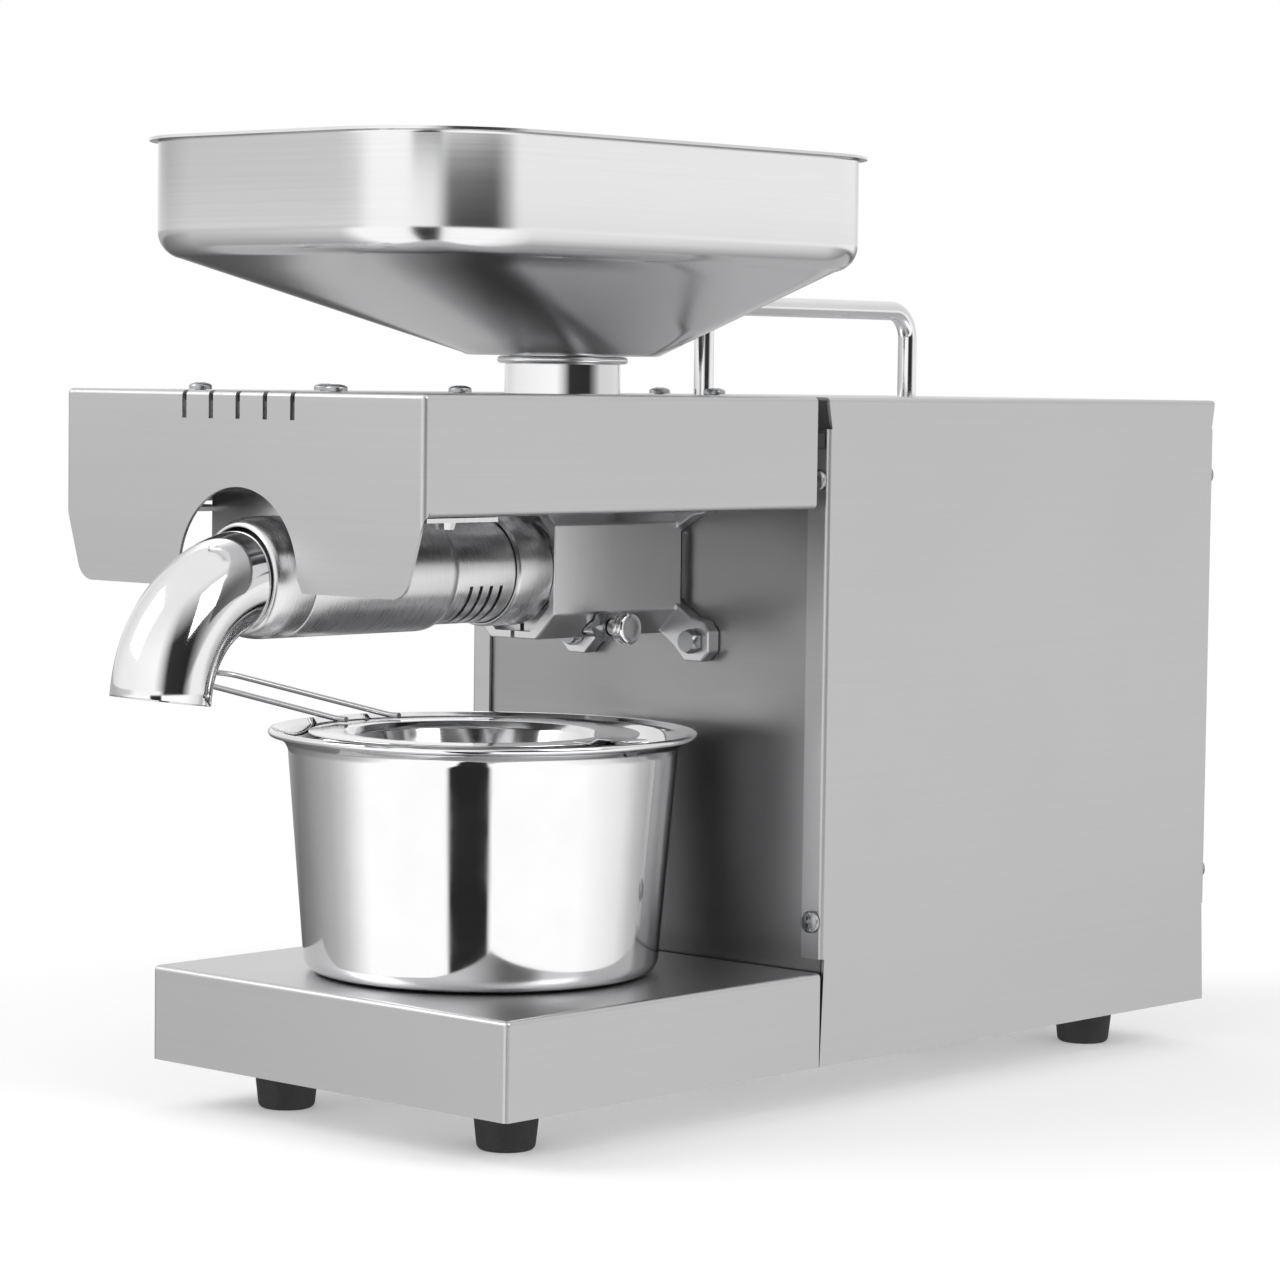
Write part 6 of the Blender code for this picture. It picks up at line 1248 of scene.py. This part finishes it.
class OILPRESS_OT_fasteners(bpy.types.Operator):
    """Pan head screws on the hood, the cover and the flanges"""

    bl_idname = "oilpress.fasteners"
    bl_label = "Fasteners"

    def execute(self, context):
        down = 0.0030
        groups = (
            ("hood_screws_set", [f"hood_screw_{n}" for n in range(1, 5)], UPRIGHT),
            ("cover_screws_set", [f"cover_screw_{n}" for n in range(1, 3)], UPRIGHT),
            ("flange_screws_set", [f"flange_screw_{n}" for n in range(1, 5)], FACING_FRONT),
        )
        for name, nodes, turn in groups:
            places = []
            for node in nodes:
                centre = middle(node)
                if turn is UPRIGHT:
                    places.append(at(centre.x, centre.y, COVER_HIGH.z))
                else:
                    places.append(at(centre.x, COVER_LOW.y, centre.z, turn))
            place_copies(name, self.model(down), places, "zinc_plated_steel", "housing", nodes)
        places = [at(place.x, COVER_HIGH.y - 0.0002, place.z, FACING_BACK) for place in (middle(f"flange_screw_{n}") for n in range(1, 5))]
        place_copies("back_screws_set", self.model(down), places, "zinc_plated_steel", "housing", [])
        return {"FINISHED"}

    def model(self, reach):
        """A pan head screw with a cross recess, its seat at its origin."""
        radius, height = 0.0040, 0.0024
        dome = [(radius * math.sin(a), SEAT + height * 0.45 + height * 0.55 * math.cos(a))
                for a in (math.radians(90.0 * i / 8) for i in range(9))]
        outline = dome + [(radius, SEAT), (0.0019, SEAT), (0.0019, -reach), (0.0, -reach)]
        bm = bmesh.new()
        add_lathe(bm, outline, UPRIGHT, 40)
        bmesh.ops.recalc_face_normals(bm, faces=bm.faces)
        mesh = bpy.data.meshes.new("screw")
        bm.to_mesh(mesh)
        bm.free()
        made = bpy.data.objects.new("screw", mesh)
        bpy.context.scene.collection.objects.link(made)
        for wide, deep in ((0.0022, 0.00055), (0.00055, 0.0022)):
            slot = bmesh.new()
            add_box(slot, (-wide, -deep, SEAT + height * 0.45), (wide, deep, SEAT + height * 2))
            cut(made, slot)
        return made


class OILPRESS_OT_feet(bpy.types.Operator):
    """Rubber feet"""

    bl_idname = "oilpress.feet"
    bl_label = "Feet"

    def execute(self, context):
        for name in ("foot_front_left", "foot_front_right", "foot_rear_left", "foot_rear_right"):
            low, high = span(name)
            centre = (low + high) / 2
            top = -SEAT
            outline = [(0.0020, top), (0.0120, top), (0.0119, top - 0.0012), (0.0103, low.z + 0.0012), (0.0092, low.z),
                       (0.0050, low.z), (0.0050, low.z + 0.0086), (0.0020, low.z + 0.0086)]
            lathe(name + "_rubber", outline, at(centre.x, centre.y, 0.0), "black_rubber", "housing", [name], ease=0.0008, steps=72)
            screw = [(0.0, low.z + 0.0061), (0.0030, low.z + 0.0063), (0.0040, low.z + 0.0078), (0.0040, low.z + 0.0085),
                     (0.0018, low.z + 0.0085), (0.0018, high.z), (0.0, high.z)]
            lathe(name + "_screw", list(reversed(screw)), at(centre.x, centre.y, 0.0), "zinc_plated_steel", "housing", [],
                  ease=0.0003, steps=32)
        return {"FINISHED"}


class OILPRESS_OT_carried(bpy.types.Operator):
    """Finishes for the frame's nodes that keep their own shape"""

    bl_idname = "oilpress.carried"
    bl_label = "Carried Nodes"

    def execute(self, context):
        slots = {item["node"]: item["material_slot"] for item in frame["record"]["subparts"]}
        for name, made in frame["nodes"].items():
            # The bulkhead node takes the darker copy of the brushed stainless, whose colour is painted shade.
            look = finish("bulkhead_painted_shade" if name == "bulkhead" else slots[name])
            for slot in made.material_slots:
                slot.material = look
            if not made.material_slots:
                made.data.materials.append(look)
        return {"FINISHED"}


# Walls that the metal mirrors: compass angle in degrees and level, low down, level with the press and above it
WALLS_LOW = ((-180, 0.22), (-150, 0.42), (-138, 0.58), (-120, 1.00), (-67, 1.00), (-65, 0.02), (-42, 0.02), (-40, 1.00),
             (18, 1.00), (34, 0.88), (50, 0.76), (62, 0.50), (90, 0.18), (120, 0.05), (136, 0.05), (180, 0.22))
WALLS_LEVEL = ((-180, 0.40), (-144, 0.54), (-118, 0.62), (-102, 0.95), (-46, 0.95), (-34, 0.03), (6, 0.02), (18, 0.40),
               (28, 0.86), (100, 0.86), (112, 0.26), (135, 0.34), (180, 0.44))
WALLS_HIGH = ((-180, 0.70), (-150, 0.84), (-58, 0.96), (-46, 0.60), (-32, 0.03), (8, 0.02), (20, 0.24), (34, 0.64),
              (60, 0.66), (110, 0.74), (135, 0.80), (180, 0.70))


class OILPRESS_OT_stage(bpy.types.Operator):
    """Camera, floor and soft light"""

    bl_idname = "oilpress.stage"
    bl_label = "Stage"

    def execute(self, context):
        settings = context.scene.press_stage
        self.camera(context, settings)
        self.floor(context)
        self.lamps(context)
        self.world(context)
        context.scene.view_settings.view_transform = "Standard"
        return {"FINISHED"}

    def camera(self, context, settings):
        """Camera at the photograph's place, aimed by yaw, pitch and roll."""
        yaw, pitch, roll = settings.yaw, settings.pitch, settings.roll
        ahead = Vector((-math.sin(yaw) * math.cos(pitch), math.cos(yaw) * math.cos(pitch), -math.sin(pitch)))
        right = Vector((math.cos(yaw), math.sin(yaw), 0.0))
        up = right.cross(ahead)
        side = right * math.cos(roll) + up * math.sin(roll)
        top = up * math.cos(roll) - right * math.sin(roll)
        data = bpy.data.cameras.new("photo_camera")
        data.lens = settings.lens
        data.sensor_width = 36.0
        data.clip_end = 50.0
        made = bpy.data.objects.new("photo_camera", data)
        turn = Matrix((side, top, -ahead)).transposed().to_4x4()
        made.matrix_world = Matrix.Translation(Vector(settings.eye)) @ turn
        context.scene.collection.objects.link(made)
        context.scene.camera = made

    def floor(self, context):
        """Pale floor under the feet."""
        bm = bmesh.new()
        z = span("foot_front_left")[0].z
        quad(bm, (-15.0, -15.0, z), (15.0, -15.0, z), (15.0, 15.0, z), (-15.0, 15.0, z))
        mesh = bpy.data.meshes.new("floor")
        bm.to_mesh(mesh)
        bm.free()
        made = bpy.data.objects.new("floor", mesh)
        context.scene.collection.objects.link(made)
        material = bpy.data.materials.new("white_paper")
        material.use_nodes = True
        tree = material.node_tree
        tree.nodes.clear()
        paper = add_node(tree, "ShaderNodeBsdfDiffuse", {}, {"Color": (0.86, 0.86, 0.86, 1.0)})
        path = add_node(tree, "ShaderNodeLightPath")
        lift = add_node(tree, "ShaderNodeMath", {"operation": "MULTIPLY"}, {0: path.outputs["Is Camera Ray"], 1: 0.22})
        glow = add_node(tree, "ShaderNodeEmission", {}, {"Color": (1.0, 1.0, 1.0, 1.0), "Strength": lift.outputs[0]})
        both = add_node(tree, "ShaderNodeAddShader", {}, {0: paper.outputs[0], 1: glow.outputs[0]})
        white = add_node(tree, "ShaderNodeEmission", {}, {"Color": (1.0, 1.0, 1.0, 1.0), "Strength": 1.0})
        place = add_node(tree, "ShaderNodeTexCoord")
        reach = add_node(tree, "ShaderNodeVectorMath", {"operation": "LENGTH"}, {0: place.outputs["Object"]})
        away = add_node(tree, "ShaderNodeMapRange", {"interpolation_type": "SMOOTHSTEP"}, {
            "Value": reach.outputs["Value"], "From Min": 0.32, "From Max": 0.75, "To Min": 0.0, "To Max": 1.0})
        far = add_node(tree, "ShaderNodeMath", {"operation": "MULTIPLY"}, {0: away.outputs["Result"],
                                                                          1: path.outputs["Is Camera Ray"]})
        seen = add_node(tree, "ShaderNodeMixShader", {}, {0: far.outputs[0], 1: both.outputs[0], 2: white.outputs[0]})
        clear = add_node(tree, "ShaderNodeBsdfTransparent")
        room = add_node(tree, "ShaderNodeMixShader", {}, {0: path.outputs["Is Glossy Ray"], 1: seen.outputs[0],
                                                          2: clear.outputs[0]})
        add_node(tree, "ShaderNodeOutputMaterial", {}, {"Surface": room.outputs[0]})
        made.data.materials.append(material)

    def lamps(self, context):
        """Two large soft boxes."""
        for name, place, aim, size, power in (
                ("soft_box_front", (-1.3, -1.9, 1.9), (0.0, -0.05, 0.12), 1.6, 30.0),
                ("soft_box_side", (2.3, 0.2, 1.7), (0.0, 0.0, 0.12), 1.4, 20.0)):
            data = bpy.data.lights.new(name, "AREA")
            data.shape = "SQUARE"
            data.size = size
            data.energy = power
            made = bpy.data.objects.new(name, data)
            made.location = place
            made.rotation_euler = (Vector(aim) - Vector(place)).to_track_quat("-Z", "Y").to_euler()
            context.scene.collection.objects.link(made)

    def world(self, context):
        """White room: level light for matt surfaces, light and dark walls for the metal to mirror."""
        world = bpy.data.worlds.new("white_room")
        context.scene.world = world
        world.use_nodes = True
        tree = world.node_tree
        tree.nodes.clear()
        coordinates = add_node(tree, "ShaderNodeTexCoord")
        parts = add_node(tree, "ShaderNodeSeparateXYZ", {}, {"Vector": coordinates.outputs["Generated"]})
        angle = add_node(tree, "ShaderNodeMath", {"operation": "ARCTAN2"}, {0: parts.outputs["Y"], 1: parts.outputs["X"]})
        turn = add_node(tree, "ShaderNodeMapRange", {}, {"Value": angle.outputs[0], "From Min": -math.pi, "From Max": math.pi,
                                                         "To Min": 0.0, "To Max": 1.0})
        room = self.walls(tree, turn.outputs["Result"], WALLS_LOW)
        for stops, low, high in ((WALLS_LEVEL, -0.16, -0.10), (WALLS_HIGH, 0.00, 0.03)):
            room = self.blend(tree, parts.outputs["Z"], low, high, room, self.walls(tree, turn.outputs["Result"], stops))
        room = self.blend(tree, parts.outputs["Z"], 0.45, 0.85, room, (0.8, 0.8, 0.8, 1.0))
        path = add_node(tree, "ShaderNodeLightPath")
        mirrored = add_node(tree, "ShaderNodeBackground", {}, {"Color": room, "Strength": 1.25})
        level_light = add_node(tree, "ShaderNodeBackground", {}, {"Color": (1.0, 1.0, 1.0, 1.0), "Strength": 0.70})
        white = add_node(tree, "ShaderNodeBackground", {}, {"Color": (1.0, 1.0, 1.0, 1.0), "Strength": 1.0})
        first = add_node(tree, "ShaderNodeMixShader", {}, {0: path.outputs["Is Glossy Ray"]})
        tree.links.new(level_light.outputs[0], first.inputs[1])
        tree.links.new(mirrored.outputs[0], first.inputs[2])
        seen = add_node(tree, "ShaderNodeMath", {"operation": "MAXIMUM"}, {0: path.outputs["Is Camera Ray"],
                                                                         1: path.outputs["Is Transmission Ray"]})
        second = add_node(tree, "ShaderNodeMixShader", {}, {0: seen.outputs[0]})
        tree.links.new(first.outputs[0], second.inputs[1])
        tree.links.new(white.outputs[0], second.inputs[2])
        output = add_node(tree, "ShaderNodeOutputWorld")
        tree.links.new(second.outputs[0], output.inputs["Surface"])


    def walls(self, tree, source, stops):
        """Light and dark walls around the room: compass angle in degrees and level."""
        node = add_node(tree, "ShaderNodeValToRGB", {}, {"Fac": source})
        for i, (degrees, level) in enumerate(stops):
            place = (degrees + 180.0) / 360.0
            stop = node.color_ramp.elements[i] if i < 2 else node.color_ramp.elements.new(place)
            stop.position = place
            stop.color = (level, level, level, 1.0)
        return node.outputs["Color"]

    def blend(self, tree, height, low, high, below, above):
        """One set of walls below a height and another above it."""
        share = add_node(tree, "ShaderNodeMapRange", {}, {"Value": height, "From Min": low, "From Max": high})
        node = add_node(tree, "ShaderNodeMix", {"data_type": "RGBA"}, {"Factor": share.outputs["Result"], 6: below, 7: above})
        return node.outputs[2]


class OILPRESS_PT_panel(bpy.types.Panel):
    """Settings and steps of the oil press"""

    bl_label = "Oil Press"
    bl_idname = "OILPRESS_PT_panel"
    bl_space_type = "VIEW_3D"
    bl_region_type = "UI"
    bl_category = "Oil Press"

    def draw(self, context):
        scene = context.scene
        for settings in (scene.press_sheet, scene.press_pipe, scene.press_hopper, scene.press_pot, scene.press_finish,
                         scene.press_stage):
            box = self.layout.box()
            for key in settings.__annotations__:
                box.prop(settings, key)
        for operator in OPERATORS:
            self.layout.operator(operator.bl_idname)


SETTINGS = {
    "press_sheet": SheetSettings,
    "press_pipe": PipeSettings,
    "press_hopper": HopperSettings,
    "press_pot": PotSettings,
    "press_finish": FinishSettings,
    "press_stage": StageSettings,
}
OPERATORS = (
    OILPRESS_OT_carried,
    OILPRESS_OT_sheets,
    OILPRESS_OT_press_line,
    OILPRESS_OT_chute,
    OILPRESS_OT_press_screw,
    OILPRESS_OT_block,
    OILPRESS_OT_hopper,
    OILPRESS_OT_handle,
    OILPRESS_OT_pot,
    OILPRESS_OT_fasteners,
    OILPRESS_OT_feet,
    OILPRESS_OT_stage,
)


def register():
    """Registers the classes and the scene's settings."""
    for group in SETTINGS.values():
        bpy.utils.register_class(group)
    for operator in OPERATORS:
        bpy.utils.register_class(operator)
    bpy.utils.register_class(OILPRESS_PT_panel)
    for name, group in SETTINGS.items():
        setattr(bpy.types.Scene, name, PointerProperty(type=group))


def unregister():
    """Removes the classes and the scene's settings."""
    for name in SETTINGS:
        delattr(bpy.types.Scene, name)
    bpy.utils.unregister_class(OILPRESS_PT_panel)
    for operator in reversed(OPERATORS):
        bpy.utils.unregister_class(operator)
    for group in reversed(list(SETTINGS.values())):
        bpy.utils.unregister_class(group)


def corners(box):
    """A box as plain lists."""
    return [[float(value) for value in corner] for corner in box]


def main():
    """Builds every piece and the stage."""
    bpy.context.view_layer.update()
    register()
    for operator in OPERATORS:
        family, name = operator.bl_idname.split(".")
        getattr(getattr(bpy.ops, family), name)()


if __name__ == "__main__":
    main()
